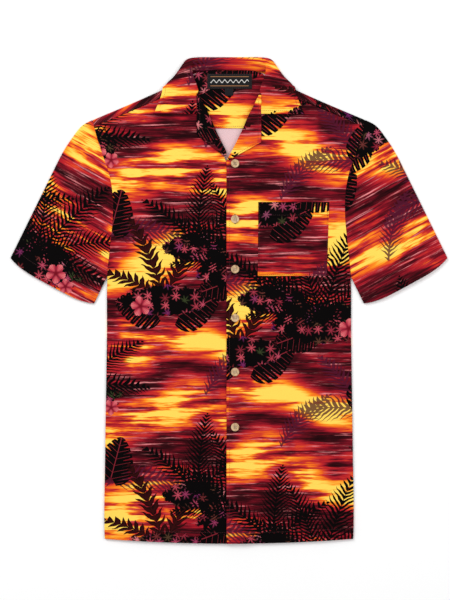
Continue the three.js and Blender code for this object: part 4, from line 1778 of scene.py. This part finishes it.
@dataclass(frozen=True)
class Shoulders:
    """Places across the yoke and the line of its fold over each shoulder."""

    neck_x: float = 72
    end_x: float = 232
    depth: float = 98

    @property
    def slant(self) -> float:
        """The cosine of the fold's slant, which widens the fold in plan."""
        (_, high), (_, low) = BODY.shoulder_fold.places[0], BODY.shoulder_fold.places[-1]
        return math.cos(math.atan2(high - low, self.end_x - self.neck_x))

    def across(self, place: Array, y: Array, inset: float = MAKE.seam / 2) -> Array:
        """A place across, spread beyond the neck so that the last one follows the armhole.

        Args:
            place: nominal places across.
            y: the heights they are read at.
            inset: how far inside the armhole's line the last one lies.

        Returns:
            The real places.
        """
        size = np.abs(place)
        beyond = np.maximum(0, size - self.neck_x) / (self.end_x - self.neck_x)
        outer = BODY.half_width(y) - inset
        return np.sign(place) * lerp(np.minimum(size, self.neck_x), outer, beyond)

    def fold_middle(self, size: Array) -> Array:
        """The middle of the fold: the outermost line less half the cloth and the fold's radius."""
        return BODY.shoulder_fold.at(size) - (MAKE.cloth / 2 + MAKE.fold_radius) / self.slant

    def top(self, size: Array) -> Array:
        """The yoke's top: the neck seam and, beyond it, the middle of the fold.

        Args:
            size: nominal places across, without their sign.

        Returns:
            The top at each place.
        """
        neck = np.array(self.neck_x)
        drop = BODY.back_neck.at(neck) - self.fold_middle(neck)
        inside = BODY.back_neck.at(size) - drop * (size / self.neck_x) ** 4
        return np.where(size >= self.neck_x, self.fold_middle(size), inside)

    def shares(self) -> Array:
        """Shares of the way up from the yoke's seam, one for each row of points."""
        return spread(0, 1, MAKE.grain / self.depth)[:, None]

    def places(self) -> Array:
        """Nominal places from shoulder end to shoulder end."""
        half = np.concatenate([spread(0, self.neck_x, 3), spread(self.neck_x, self.end_x, 3)[1:]])
        return np.concatenate([-half[:0:-1], half])


SHOULDERS = Shoulders()


@dataclass
class Yoke(ClothPiece):
    """The yoke, which covers the upper back and turns over each shoulder to the front's seam."""

    name: str = "yoke"
    cut: Print = Print(across=60, along=-70)
    flat: Pair = (0.48, 0.15)
    rests_on: tuple[str, ...] = ("collar", "surface")
    edge_stitch: float = 3

    def strip(self, places: Array) -> Patch:
        """One shoulder: half round the fold on a circle, then flat to the seam.

        Args:
            places: nominal places across the shoulder.

        Returns:
            Its grid.
        """
        size = np.abs(places)
        crest = SHOULDERS.fold_middle(size)
        angles = np.linspace(0, math.pi, 11)[:, None]
        radius = MAKE.fold_radius
        turned_y = crest + radius / SHOULDERS.slant * np.sin(angles)
        turned_x = np.broadcast_to(SHOULDERS.across(places, crest), turned_y.shape)
        base = BODY.back_level(SHOULDERS.across(places, crest), crest)
        turned_z = base + radius * (1 - np.cos(angles))
        flat_y = lerp(crest, BODY.shoulder_seam.at(size), np.linspace(0, 1, 6)[1:, None])
        flat_x = SHOULDERS.across(places, flat_y)
        flat_z = BODY.front_level(flat_x, flat_y)
        x, y = np.concatenate([turned_x, flat_x]), np.concatenate([turned_y, flat_y])
        middle = np.stack([x, y, np.concatenate([turned_z, flat_z])], axis=-1)
        unrolled = crest + run_along(middle)
        return Patch(middle, self.cut.place(x, unrolled), MAKE.ply, 0.0, flip=True)

    def patches(self) -> list[Patch]:
        """The back part, between the yoke's seam and its top, and a strip for each shoulder.

        Returns:
            The back part and the two strips, which share points along the folds.
        """
        places = SHOULDERS.places()
        top = SHOULDERS.top(np.abs(places))
        y = lerp(BODY.yoke_seam_y, top, SHOULDERS.shares())
        x = SHOULDERS.across(places, y)
        middle = np.stack([x, y, BODY.back_level(x, y)], axis=-1)
        back = Patch(middle, self.cut.place(x, y), MAKE.ply, 0.0, flip=True)
        ends = places[places >= SHOULDERS.neck_x]
        return [back, self.strip(ends), self.strip(-ends[::-1])]

    def stitch_lines(self, patches: list[Patch]) -> list[Line]:
        """A row beside the seam across the back and one beside each shoulder seam."""
        back, *strips = patches
        return [back.across(self.edge_stitch), *(s.across(self.edge_stitch, far=True) for s in strips)]


@dataclass
class YokeFacing(ClothPiece):
    """The yoke's inner ply, printed side up, which shows through the neck opening."""

    name: str = "yoke_facing"
    cut: Print = Print(across=-35, along=45)
    flat: Pair = (0.46, 0.11)
    rests_on: tuple[str, ...] = ("yoke",)
    inset: float = 7
    edge_stitch: float = 3

    def patches(self) -> list[Patch]:
        """The yoke's own places a ply higher, held an inset short of the folds.

        Returns:
            The one grid.
        """
        places = SHOULDERS.places()
        size = np.abs(places)
        short = self.inset * smoothstep(size, SHOULDERS.neck_x - 20, SHOULDERS.neck_x)
        y = lerp(BODY.yoke_seam_y, SHOULDERS.top(size) - short, SHOULDERS.shares())
        x = SHOULDERS.across(places, y, self.inset)
        middle = np.stack([x, y, BODY.facing_level(x, y)], axis=-1)
        return [Patch(middle, self.cut.place(x, y), BODY.facing_ply / 2, 0.1)]

    def stitch_lines(self, patches: list[Patch]) -> list[Line]:
        """A row beside the lower edge."""
        return [patches[0].across(self.edge_stitch)]


# What is sewn flat onto a panel


@dataclass
class Applied(ClothPiece):
    """A four-sided piece sewn onto a panel, with edges that dip to touch it."""

    left: float = 0
    right: float = 10
    taper: float = 0
    top: float = 10
    bottom: float = 0
    ply: float = 1
    level: Level = BODY.facing_level
    under_ply: float = 1
    dip: float = 0.5
    dip_reach: float = 2.2
    edge_stitch: float = 1.2
    grain: float = 2

    def extra(self, y: Array) -> Array:
        """What is added to the face at each height."""
        return np.zeros_like(y)

    def patches(self) -> list[Patch]:
        """Rows between slanting edges, at the panel's level and a ply up, less the dip at the edges.

        The dip is a soft step over the distance to the nearest sewn edge.

        Returns:
            The one grid.
        """
        y = spread(self.bottom, self.top, self.grain)[:, None]
        share = (self.top - y) / (self.top - self.bottom)
        low, high = self.left - self.taper / 4 * share, self.right - self.taper * share
        x = lerp(low, high, spread(0, 1, self.grain / (self.right - self.left)))
        y = np.broadcast_to(y, x.shape)
        inside = np.minimum(np.minimum(x - low, high - x), self.sewn_height(y))
        dipped = self.dip * (1 - smoothstep(inside, 0, self.dip_reach))
        z = on_level(self.level, self.under_ply, self.ply)(x, y) - dipped
        middle = np.stack([x, y, z], axis=-1)
        return [Patch(middle, self.cut.place(x, y), self.ply / 2 + self.extra(y), 0.0)]

    def sewn_height(self, y: Array) -> Array:
        """How far a place is from the edges along X that are sewn down: both, here."""
        return np.minimum(y - self.bottom, self.top - y)

    def stitch_lines(self, patches: list[Patch]) -> list[Line]:
        """A row inside each of the four edges."""
        return self.frame_lines(patches[0], self.edge_stitch, top=True)

    def frame_lines(self, patch: Patch, inset: float, top: bool) -> list[Line]:
        """Rows of stitches inside the side edges and the bottom one and, if asked, the top one.

        Args:
            patch: the piece's grid.
            inset: how far inside the edges they run.
            top: whether the top edge has one.

        Returns:
            The points and directions of each row.
        """
        rows = np.arange(patch.middle.shape[0])[1:-1]
        lines = [patch.down(inset, far, rows) for far in (False, True)]
        lines.append(patch.across(inset, skip=1))
        if top:
            lines.append(patch.across(inset, far=True, skip=1))
        return lines


@dataclass
class Pocket(Applied):
    """The chest pocket, open at the top, where its hem is turned in."""

    name: str = "pocket"
    cut: Print = Print(across=140, along=60)
    flat: Pair = (0.124, 0.128)
    rests_on: tuple[str, ...] = ("left_front",)
    left: float = 50.2
    right: float = 169.8
    taper: float = 4
    top: float = 166.6
    bottom: float = 41.7
    level: Level = BODY.lap_level
    under_ply: float = 1.2
    dip: float = 0.7
    edge_stitch: float = 2.2
    hem_depth: float = 24
    hem_stitch: float = 22
    hem_ply: float = 0.4

    def extra(self, y: Array) -> Array:
        """The turned hem's ply at the top."""
        hem_y = self.top - self.hem_depth
        return self.hem_ply * smoothstep(y, hem_y - 1, hem_y)

    def sewn_height(self, y: Array) -> Array:
        """How far a place is from the bottom edge, because the top one is open."""
        return y - self.bottom

    def stitch_lines(self, patches: list[Patch]) -> list[Line]:
        """A row inside the sewn edges and one along the foot of the hem."""
        hem = patches[0].across(self.hem_stitch, far=True, skip=1)
        return [*self.frame_lines(patches[0], self.edge_stitch, top=False), hem]


@dataclass
class NeckLabel(Applied):
    """The woven label on the yoke's inner ply."""

    name: str = "label"
    flat: Pair = (0.0762, 0.0255)
    rests_on: tuple[str, ...] = ("yoke_facing",)
    slot: str = "label_weave"
    left: float = -36.9
    right: float = 38.9
    top: float = 384.3
    bottom: float = 359.2
    ply: float = 0.6
    dip: float = 0.25
    grain: float = 1.5
    round_edge: float = 0.12


@dataclass
class SizeTab(Applied):
    """The small bare tab under the label."""

    name: str = "size_tab"
    flat: Pair = (0.0142, 0.0118)
    rests_on: tuple[str, ...] = ("yoke_facing",)
    slot: str = "label_weave"
    left: float = -7
    right: float = 7
    top: float = 358.9
    bottom: float = 347.5
    ply: float = 0.6
    dip: float = 0.2
    grain: float = 1
    round_edge: float = 0.12

    def stitch_lines(self, patches: list[Patch]) -> list[Line]:
        """None: the label's own lower row holds it."""
        return []


# The sleeves


@dataclass
class Sleeve(ClothPiece):
    """One sleeve: a tube pressed flat, from the armhole to the cuff."""

    side: Side = Side.LEFT
    flat: Pair = (0.54, 0.28)
    rests_on: tuple[str, ...] = ("surface",)
    cuff_bow: float = 9.2
    grain_angle: float = 28.5
    hem_stitch: float = 19

    def armhole(self, part: Array) -> Array:
        """The armhole seam, from the shoulder's end down to the underarm."""
        y = lerp(BODY.shoulder_fold.places[-1][1], BODY.underarm_y, part)
        return np.stack([BODY.half_width(y) + MAKE.seam + MAKE.cloth / 2 * part**8, y], axis=-1)

    def cuff(self, part: Array) -> Array:
        """The cuff's edge: a straight line bowed outwards by one less the fourth power across it.

        Args:
            part: shares from the top fold to the under one.

        Returns:
            Two columns of places.
        """
        outer, inner = np.array(BODY.sleeve_top[-1]), np.array(BODY.cuff_inner)
        chord = outer - inner
        outwards = unit(np.array([chord[1], -chord[0]]))
        bow = self.cuff_bow * (1 - (2 * part - 1) ** 4)
        return lerp(outer, inner, part[..., None]) + bow[..., None] * outwards

    def top_line(self, way: Array) -> Array:
        """The fold along the sleeve's top, at even lengths.

        A Catmull-Rom curve goes through the points, with the slope at each of them half of the way
        between its neighbours, and is read at shares of its length.

        Args:
            way: shares of the way from the armhole to the cuff.

        Returns:
            Two columns of places.
        """
        points = np.concatenate([self.armhole(np.zeros(1)), np.array(BODY.sleeve_top)])
        padded = np.concatenate([points[:1], points, points[-1:]])
        fine = np.linspace(0, len(points) - 1, 401)
        i = np.minimum(fine.astype(int), len(points) - 2)
        t = (fine - i)[:, None]
        before, low, high, after = (padded[i + k] for k in range(4))
        start, end = (high - before) / 2, (after - low) / 2
        curve = (2 * low - 2 * high + start + end) * t**3
        curve += (3 * high - 3 * low - 2 * start - end) * t**2 + start * t + low
        run = run_along(curve)
        wanted = way * run[-1]
        return np.stack([np.interp(wanted, run, curve[:, k]) for k in range(2)], axis=-1)

    def plan(self, part: Array, way: Array) -> Array:
        """The shape in plan, filled between its four edges.

        It is a Coons patch: the mean of the armhole and the cuff by the way along, and the mean of the
        two folds by the part down, less the mean of the four corners that both of them hold.

        Args:
            part: shares from the top fold to the under one.
            way: shares from the armhole to the cuff.

        Returns:
            Two columns of places.
        """
        part, way = np.broadcast_arrays(part, way)
        zero, one = np.zeros(1), np.ones(1)
        under = lerp(self.armhole(one), self.cuff(one), way[..., None])
        p, w = part[..., None], way[..., None]
        ends = lerp(self.armhole(part), self.cuff(part), w)
        sides = lerp(self.top_line(way), under, p)
        near = lerp(self.armhole(zero), self.armhole(one), p)
        far = lerp(self.cuff(zero), self.cuff(one), p)
        return ends + sides - lerp(near, far, w)

    def patches(self) -> list[Patch]:
        """The tube's grid: a ring of points for each step along the sleeve.

        Each ring goes over the upper layer from the top fold to the under one and back below. Near the
        folds its height follows the fold's circle. The cloth's grain runs along the sleeve, so its
        places are the plan's own turned by the sleeve's slant, and below they unfold about the top.

        Returns:
            The one grid, on the sleeve's own side.
        """
        length = run_along(self.top_line(np.linspace(0, 1, 200)))[-1]
        way = spread(0, 1, MAKE.grain / length)[:, None]
        top, under = (self.plan(np.full_like(way, part), way) for part in (0, 1))
        width = np.linalg.norm(top - under, axis=-1)
        insets = MAKE.fold_insets[::-1]
        near = (MAKE.cloth / 2 + insets) / width
        middle_parts = lerp(near[:, -1:], 1 - near[:, -1:], np.linspace(0, 1, 56)[1:-1])
        part = np.concatenate([near, middle_parts, 1 - near[:, ::-1]], axis=1)
        inset = np.concatenate([insets, np.full(middle_parts.shape[1], insets[-1]), insets[::-1]])
        drop = MAKE.fold_drop(inset)
        plan = self.plan(part, way)
        x, y = plan[..., 0], plan[..., 1]
        upper = BODY.front_level(x * self.side.value, y) - drop
        lower = np.broadcast_to(MAKE.back_level + drop, upper.shape).copy()
        lower[:, [0, -1]] = upper[:, [0, -1]]
        z = np.concatenate([upper, lower[:, -2:0:-1]], axis=1)
        x, y = (np.concatenate([v, v[:, -2:0:-1]], axis=1) for v in (x, y))
        middle = np.stack([x, y, z], axis=-1)
        back = MAKE.hem_back(length * (1 - way)) + np.zeros(x.shape)
        cos, sin = math.cos(math.radians(self.grain_angle)), math.sin(math.radians(self.grain_angle))
        across, along = x * cos + y * sin, y * cos - x * sin
        below = np.arange(x.shape[1]) >= part.shape[1]
        across = np.where(below, 2 * across[:, :1] - across, across)
        place = self.cut.place(across * self.side.value, along)
        patch = Patch(middle, place, MAKE.ply, back, ring=True)
        return [self.side.hold(patch)]

    def stitch_lines(self, patches: list[Patch]) -> list[Line]:
        """The hem's row, all round."""
        return [patches[0].across(self.hem_stitch, far=True)]


# The collar


@dataclass(frozen=True)
class Section:
    """One section through the collar, as control points from the neck seam to the outer edge."""

    neck: Point
    stand: Point
    roll: Point
    fold: Point
    fall: Point
    edge: Point

    def points(self) -> Array:
        """The six control points in order."""
        return np.array([self.neck, self.stand, self.roll, self.fold, self.fall, self.edge], float)


def spline_shares(count: int, t: Array) -> Array:
    """How much each control point of a quadratic spline with clamped ends counts at each place.

    It is de Boor's rule: a step for each knot span, then twice the mean of neighbouring shares,
    weighted by how far into their spans the place is.

    Args:
        count: the number of control points.
        t: places from 0 to 1.

    Returns:
        A row of shares for each place.
    """
    knots = np.concatenate([[0, 0], np.linspace(0, 1, count - 1), [1, 1]])
    t = np.minimum(t, 1 - 1e-9)[:, None]
    shares = ((t >= knots[:-1]) & (t < knots[1:])).astype(float)
    for degree in (1, 2):
        span = knots[degree:] - knots[:-degree]
        with np.errstate(divide="ignore", invalid="ignore"):
            into = np.where(span > 0, (t - knots[:-degree]) / span, 0)
        shares = into[:, :-1] * shares[:, :-1] + (1 - into[:, 1:]) * shares[:, 1:] * (span[1:] > 0)
    return shares


def on_front(x: float, y: float, lift: float = 0) -> Point:
    """A control point of the collar that rests on the front."""
    level = on_level(BODY.front_level, MAKE.cloth, BODY.collar_ply)
    return (x, y, float(level(np.array(x), np.array(y))) + 0.2 + lift)


def under_yoke(x: float, y: float) -> Point:
    """A control point of the collar that lies on the surface, under the yoke."""
    return (x, y, BODY.collar_ply / 2)


@dataclass
class Collar(ClothPiece):
    """The collar: a stand round the neck that rolls over into a fall, open at the front."""

    name: str = "collar"
    cut: Print = Print(across=15, along=-110)
    flat: Pair = (0.5, 0.1)
    rests_on: tuple[str, ...] = ("left_front", "right_front", "surface")
    round_edge: float = 0.5
    two_ply: bool = True
    edge_stitch: float = 5
    neck_width: float = 30
    rows: int = 49
    columns: int = 281
    sections: tuple[Section, ...] = (
        Section(
            (0, 391.4, 3.9), (0, 402, 7.2), (0, 411.8, 7.8),
            (0, 411.8, 1), under_yoke(0, 400), under_yoke(0, 356),
        ),
        Section(
            (28, 391.3, 3.9), (28, 401.5, 7.4), (28, 411.8, 8),
            (29, 411.8, 1), under_yoke(29, 400), under_yoke(29, 356),
        ),
        Section(
            (48, 390.4, 3.9), (47, 400, 8.4), (50, 412, 10),
            (54, 412, 1.2), under_yoke(54, 400), under_yoke(48, 356),
        ),
        Section(
            (64, 388.4, 4.6), (61.5, 397, 10.5), (63, 407, 14.5),
            (71, 411.5, 6.5), under_yoke(71, 409.5), under_yoke(64, 356),
        ),
        Section(
            (73, 383, 7.8), (63.5, 386, 11), (63.5, 389, 16.5),
            (80, 397.5, 9.6), under_yoke(80, 397.5), under_yoke(76, 356),
        ),
        Section(
            (72, 371, 8.8), (58.8, 373, 11), (58.8, 374, 16.5),
            (93, 378.5, 9.8), under_yoke(93, 378.5), under_yoke(89, 356.5),
        ),
        Section(
            (67, 360, 8.8), (54.8, 362, 11), (54.8, 363, 15.5),
            (104, 368, 10), (106, 369, 1.8), under_yoke(103, 362.5),
        ),
        Section(
            (60, 352.5, 9), (51.8, 353.5, 11), (52, 354, 14.5),
            (102, 360.5, 10.4), (109, 363.5, 9.5), (112, 363.5, 6.5),
        ),
        Section(
            (55.2, 348.4, 11), (56, 348.4, 12.6), (61, 348.4, 12.4),
            (99, 352, 10), (108, 352, 9.6), (113, 352, 9.2),
        ),
        Section(
            (54.8, 338, 10.6), on_front(60, 338, 1.2), on_front(70, 339, 0.6),
            on_front(97, 342, 0.2), on_front(110, 342), on_front(116.5, 342),
        ),
        Section(
            (54.8, 328, 9.8), on_front(60, 328, 0.6), on_front(71, 328.5, 0.3),
            on_front(96, 330), on_front(113, 330), on_front(121.5, 329.5),
        ),
        Section(
            on_front(54.8, 316.9), on_front(61, 316.9), on_front(74, 316.9),
            on_front(96, 316.8), on_front(115, 316.7), on_front(127.2, 316.6),
        ),
    )

    def patches(self) -> list[Patch]:
        """A quadratic spline surface over the sections and their mirror images.

        Its points are the shares across times the control points times the shares along. The print
        lies level all round. The height counts in it across, and the way climbed and fallen along, so
        that steep parts aren't smeared.

        Returns:
            The one grid.
        """
        half = np.stack([section.points() for section in self.sections])
        net = np.concatenate([half[:0:-1] * (-1, 1, 1), half])
        down = spline_shares(net.shape[1], np.linspace(0, 1, self.rows))
        round_neck = spline_shares(len(net), np.linspace(0, 1, self.columns))
        middle = np.einsum("vj,ui,ijk->vuk", down, round_neck, net)
        x, y, z = np.moveaxis(middle, -1, 0)
        climbed = np.abs(np.diff(z, axis=0, prepend=z[:1])).cumsum(axis=0)
        place = self.cut.place(x - z * np.clip(x / self.neck_width, -1, 1), y + climbed)
        return [Patch(middle, place, BODY.collar_ply / 2, 0.2)]

    def stitch_lines(self, patches: list[Patch]) -> list[Line]:
        """A row beside the outer edge and one beside each front edge.

        Args:
            patches: the collar's one grid.

        Returns:
            The points and directions of each row.
        """
        patch, rows = patches[0], np.arange(1, self.rows - 4)
        fronts = (patch.down(self.edge_stitch, far, rows) for far in (False, True))
        return [patch.across(self.edge_stitch, far=True, skip=6), *fronts]


# Buttons and buttonholes

UPWARDS = np.array([[0.0, 0, 1], [0, 0, 1]])


@dataclass
class Button:
    """One four-hole button, sewn on over its buttonhole."""

    number: int
    y: float
    x: float = 10.3
    radius: float = 7
    thickness: float = 2.6
    rim: float = 0.5
    well_depth: float = 0.5
    well_radius: float = 4.8
    hole_offset: float = 1.6
    hole_radius: float = 0.9
    hole_depth: float = 1.9
    core: float = 0.08
    strand_gap: float = 0.36
    slit_length: float = 16.5
    slit_step: float = 0.42
    slit_offset: float = 0.85

    def base(self) -> float:
        """The height of the button's underside, a seam's gap over the highest of the front below."""
        under = BODY.lap_level(np.array(self.x), self.y + np.linspace(-1, 1, 9) * self.radius)
        return float(under.max()) + MAKE.cloth / 2 + MAKE.seam

    def profile(self) -> Line:
        """The button's outline as it is turned: radii and heights from under its middle to the top.

        The rim is a half circle squashed to the thickness, and the well's side is a soft step.

        Returns:
            The radii and the heights.
        """
        angles = np.linspace(-math.pi / 2, math.pi / 2, 13)
        half, flat = self.thickness / 2, self.radius - self.rim
        under = np.linspace(self.core, flat, 8)[:-1]
        across = np.linspace(flat, self.core, 44)[1:]
        sunk = 1 - smoothstep(across, self.well_radius - 0.4, self.well_radius + 0.5)
        top = self.thickness - self.well_depth * sunk
        radii = np.concatenate([under, flat + self.rim * np.cos(angles), across])
        return radii, np.concatenate([np.zeros_like(under), half + half * np.sin(angles), top])

    def disc(self) -> Object:
        """The button's mesh: its outline turned about Z, with four deep soft-edged holes pressed in.

        Returns:
            The object.
        """
        radii, heights = self.profile()
        angles = np.arange(84) * (2 * math.pi / 84)
        x, y = np.outer(radii, np.cos(angles)), np.outer(radii, np.sin(angles))
        z = np.broadcast_to(heights[:, None], x.shape).copy()
        gap = np.hypot(np.abs(x) - self.hole_offset, np.abs(y) - self.hole_offset)
        pressed = 1 - smoothstep(gap, self.hole_radius - 0.25, self.hole_radius + 0.12)
        on_top = np.arange(len(radii)) > len(radii) // 2
        z -= self.hole_depth * pressed * on_top[:, None]
        grid = np.arange(x.size).reshape(x.shape)
        points = np.column_stack([x.ravel() + self.x, y.ravel() + self.y, z.ravel() + self.base()])
        ends = [grid[:1, ::-1], grid[-1:]]
        blocks = [quads_of(grid, ring=True), *ends]
        return new_object(f"button_{self.number}_disc", points, blocks, sharp=50)

    def threads(self) -> Object:
        """Two bars of three strands, each from one hole to the next.

        Returns:
            The threads.
        """
        strand = Stitching(length=2 * self.hole_offset + 1.1, gap=0, radius=0.2)
        height = self.base() + self.thickness - self.well_depth + 0.08
        lines = []
        for bar in (-self.hole_offset, self.hole_offset):
            for strand_of_bar in (-1, 0, 1):
                x = self.x + bar + strand_of_bar * self.strand_gap
                z = height + 0.12 * (strand_of_bar == 0)
                ends = np.array([[x, self.y - self.hole_offset, z], [x, self.y + self.hole_offset, z]])
                lines.append((ends, UPWARDS))
        return strand.sew(f"button_{self.number}_threads", lines)

    def buttonhole(self) -> Object:
        """The buttonhole's close stitches, in two columns beside its line.

        Returns:
            The stitches.
        """
        satin = Stitching(length=1.5, gap=-0.9, radius=0.16)
        half = self.slit_length / 2
        lines = []
        for y in np.arange(-half, half, self.slit_step):
            for column in (-self.slit_offset, self.slit_offset):
                x = self.x + column + np.array([-0.3, 0.3])
                height = BODY.lap_level(x, self.y + y) + MAKE.cloth / 2 + 0.05
                lines.append((np.column_stack([x, [self.y + y] * 2, height]), UPWARDS))
        return satin.sew(f"button_{self.number}_hole", lines)

    def build(self, horn: Material, pale: Material, thread: Material) -> list[Object]:
        """Makes and dresses the button, its threads and its buttonhole.

        Args:
            horn: the button's material.
            pale: the threads' material.
            thread: the buttonhole's material.

        Returns:
            The three pieces.
        """
        disc = attach(self.disc(), f"button_{self.number}")
        threads, hole = attach(self.threads()), attach(self.buttonhole())
        for made, material in ((disc, horn), (threads, pale), (hole, thread)):
            dress(made, material)
            log.info("%s: %d faces", made.name, len(made.data.polygons))
        return [disc, threads, hole]


# The studio


@dataclass(frozen=True)
class Studio:
    """A camera straight overhead, a pale floor and soft light."""

    lens: float = 135
    frame_height: float = 1.02
    aim: Pair = (-0.0068, 0.0005)
    floor_half: float = 4000
    floor_level: float = -0.45

    def camera(self) -> None:
        """Looks straight down, with the wearer's head at the top of the picture.

        The distance is the height in view times the lens over the sensor's long side.
        """
        data = bpy.data.cameras.new("camera")
        data.lens, data.sensor_width, data.clip_end = self.lens, 36, 100
        camera = bpy.data.objects.new("camera", data)
        camera.location = (*self.aim, self.frame_height * self.lens / data.sensor_width)
        bpy.context.scene.collection.objects.link(camera)
        bpy.context.scene.camera = camera
        bpy.context.scene.view_settings.view_transform = "Standard"

    def lamp(self, name: str, place: Point, size: float, watts: float) -> None:
        """A square lamp that faces the shirt.

        Args:
            name: the lamp's name.
            place: where it hangs, in metres.
            size: its side, in metres.
            watts: its power.
        """
        data = bpy.data.lights.new(name, "AREA")
        data.size, data.energy = size, watts
        lamp = bpy.data.objects.new(name, data)
        lamp.location = place
        lamp.rotation_euler = (-mathutils.Vector(place)).to_track_quat("-Z", "Y").to_euler()
        bpy.context.scene.collection.objects.link(lamp)

    def light(self) -> None:
        """One large lamp from the upper left, a weaker one from the right and a white surround."""
        self.lamp("key", (-1.6, 1.8, 2.6), 1.6, 62)
        self.lamp("fill", (1.8, 0.6, 2.4), 1.8, 22)
        world = bpy.data.worlds.new("surround")
        world.use_nodes = True
        world.node_tree.nodes["Background"].inputs["Color"].default_value = (1, 1, 1, 1)
        world.node_tree.nodes["Background"].inputs["Strength"].default_value = 0.62
        bpy.context.scene.world = world

    def floor(self, paper: Material) -> None:
        """A wide sheet of pale paper just under the shirt.

        Args:
            paper: its material.
        """
        corners = np.array([[-1.0, -1, 0], [1, -1, 0], [1, 1, 0], [-1, 1, 0]])
        corners = corners * self.floor_half + (0, 0, self.floor_level)
        made = new_object("floor", corners, [np.array([[0, 1, 2, 3]])])
        dress(made, paper)


BUTTON_HEIGHTS = (232, 137.7, 52.7, -29.8, -121.6, -215.1)
CUTS = {
    "right_front": Print(0, 0),
    "left_front": Print(-128, 88),
    "right_lapel": Print(-35, 150),
    "left_lapel": Print(95, -40),
    "right_sleeve": Print(55, -70),
    "left_sleeve": Print(-10, 120),
}


def main() -> None:
    """Builds the studio and every piece in order."""
    logging.basicConfig(level=logging.INFO, format="%(message)s")
    studio = Studio()
    studio.camera()
    studio.light()
    studio.floor(Paper().build())
    cloth, thread, horn = PrintedCloth().build(), SewingThread().build(), Horn().build()
    pale = SewingThread(name="button_thread", colour=(0.5, 0.4, 0.3, 1)).build()
    pieces = [BackPanel(), Yoke(), YokeFacing()]
    for side in (Side.RIGHT, Side.LEFT):
        front, lapel, sleeve = (f"{side.word}_{word}" for word in ("front", "lapel", "sleeve"))
        pieces.append(Front(front, CUTS[front], side=side))
        pieces.append(Lapel(lapel, CUTS[lapel], side=side, rests_on=(front,)))
        pieces.append(Sleeve(sleeve, CUTS[sleeve], side=side))
    pieces.append(Collar())
    pieces.append(Pocket())
    for piece in pieces:
        piece.build(cloth, thread)
    NeckLabel().build(WovenLabel().build(), thread)
    SizeTab().build(BareTab().build(), thread)
    for number, y in enumerate(BUTTON_HEIGHTS, 1):
        Button(number, y).build(horn, pale, thread)


if __name__ == "__main__":
    main()
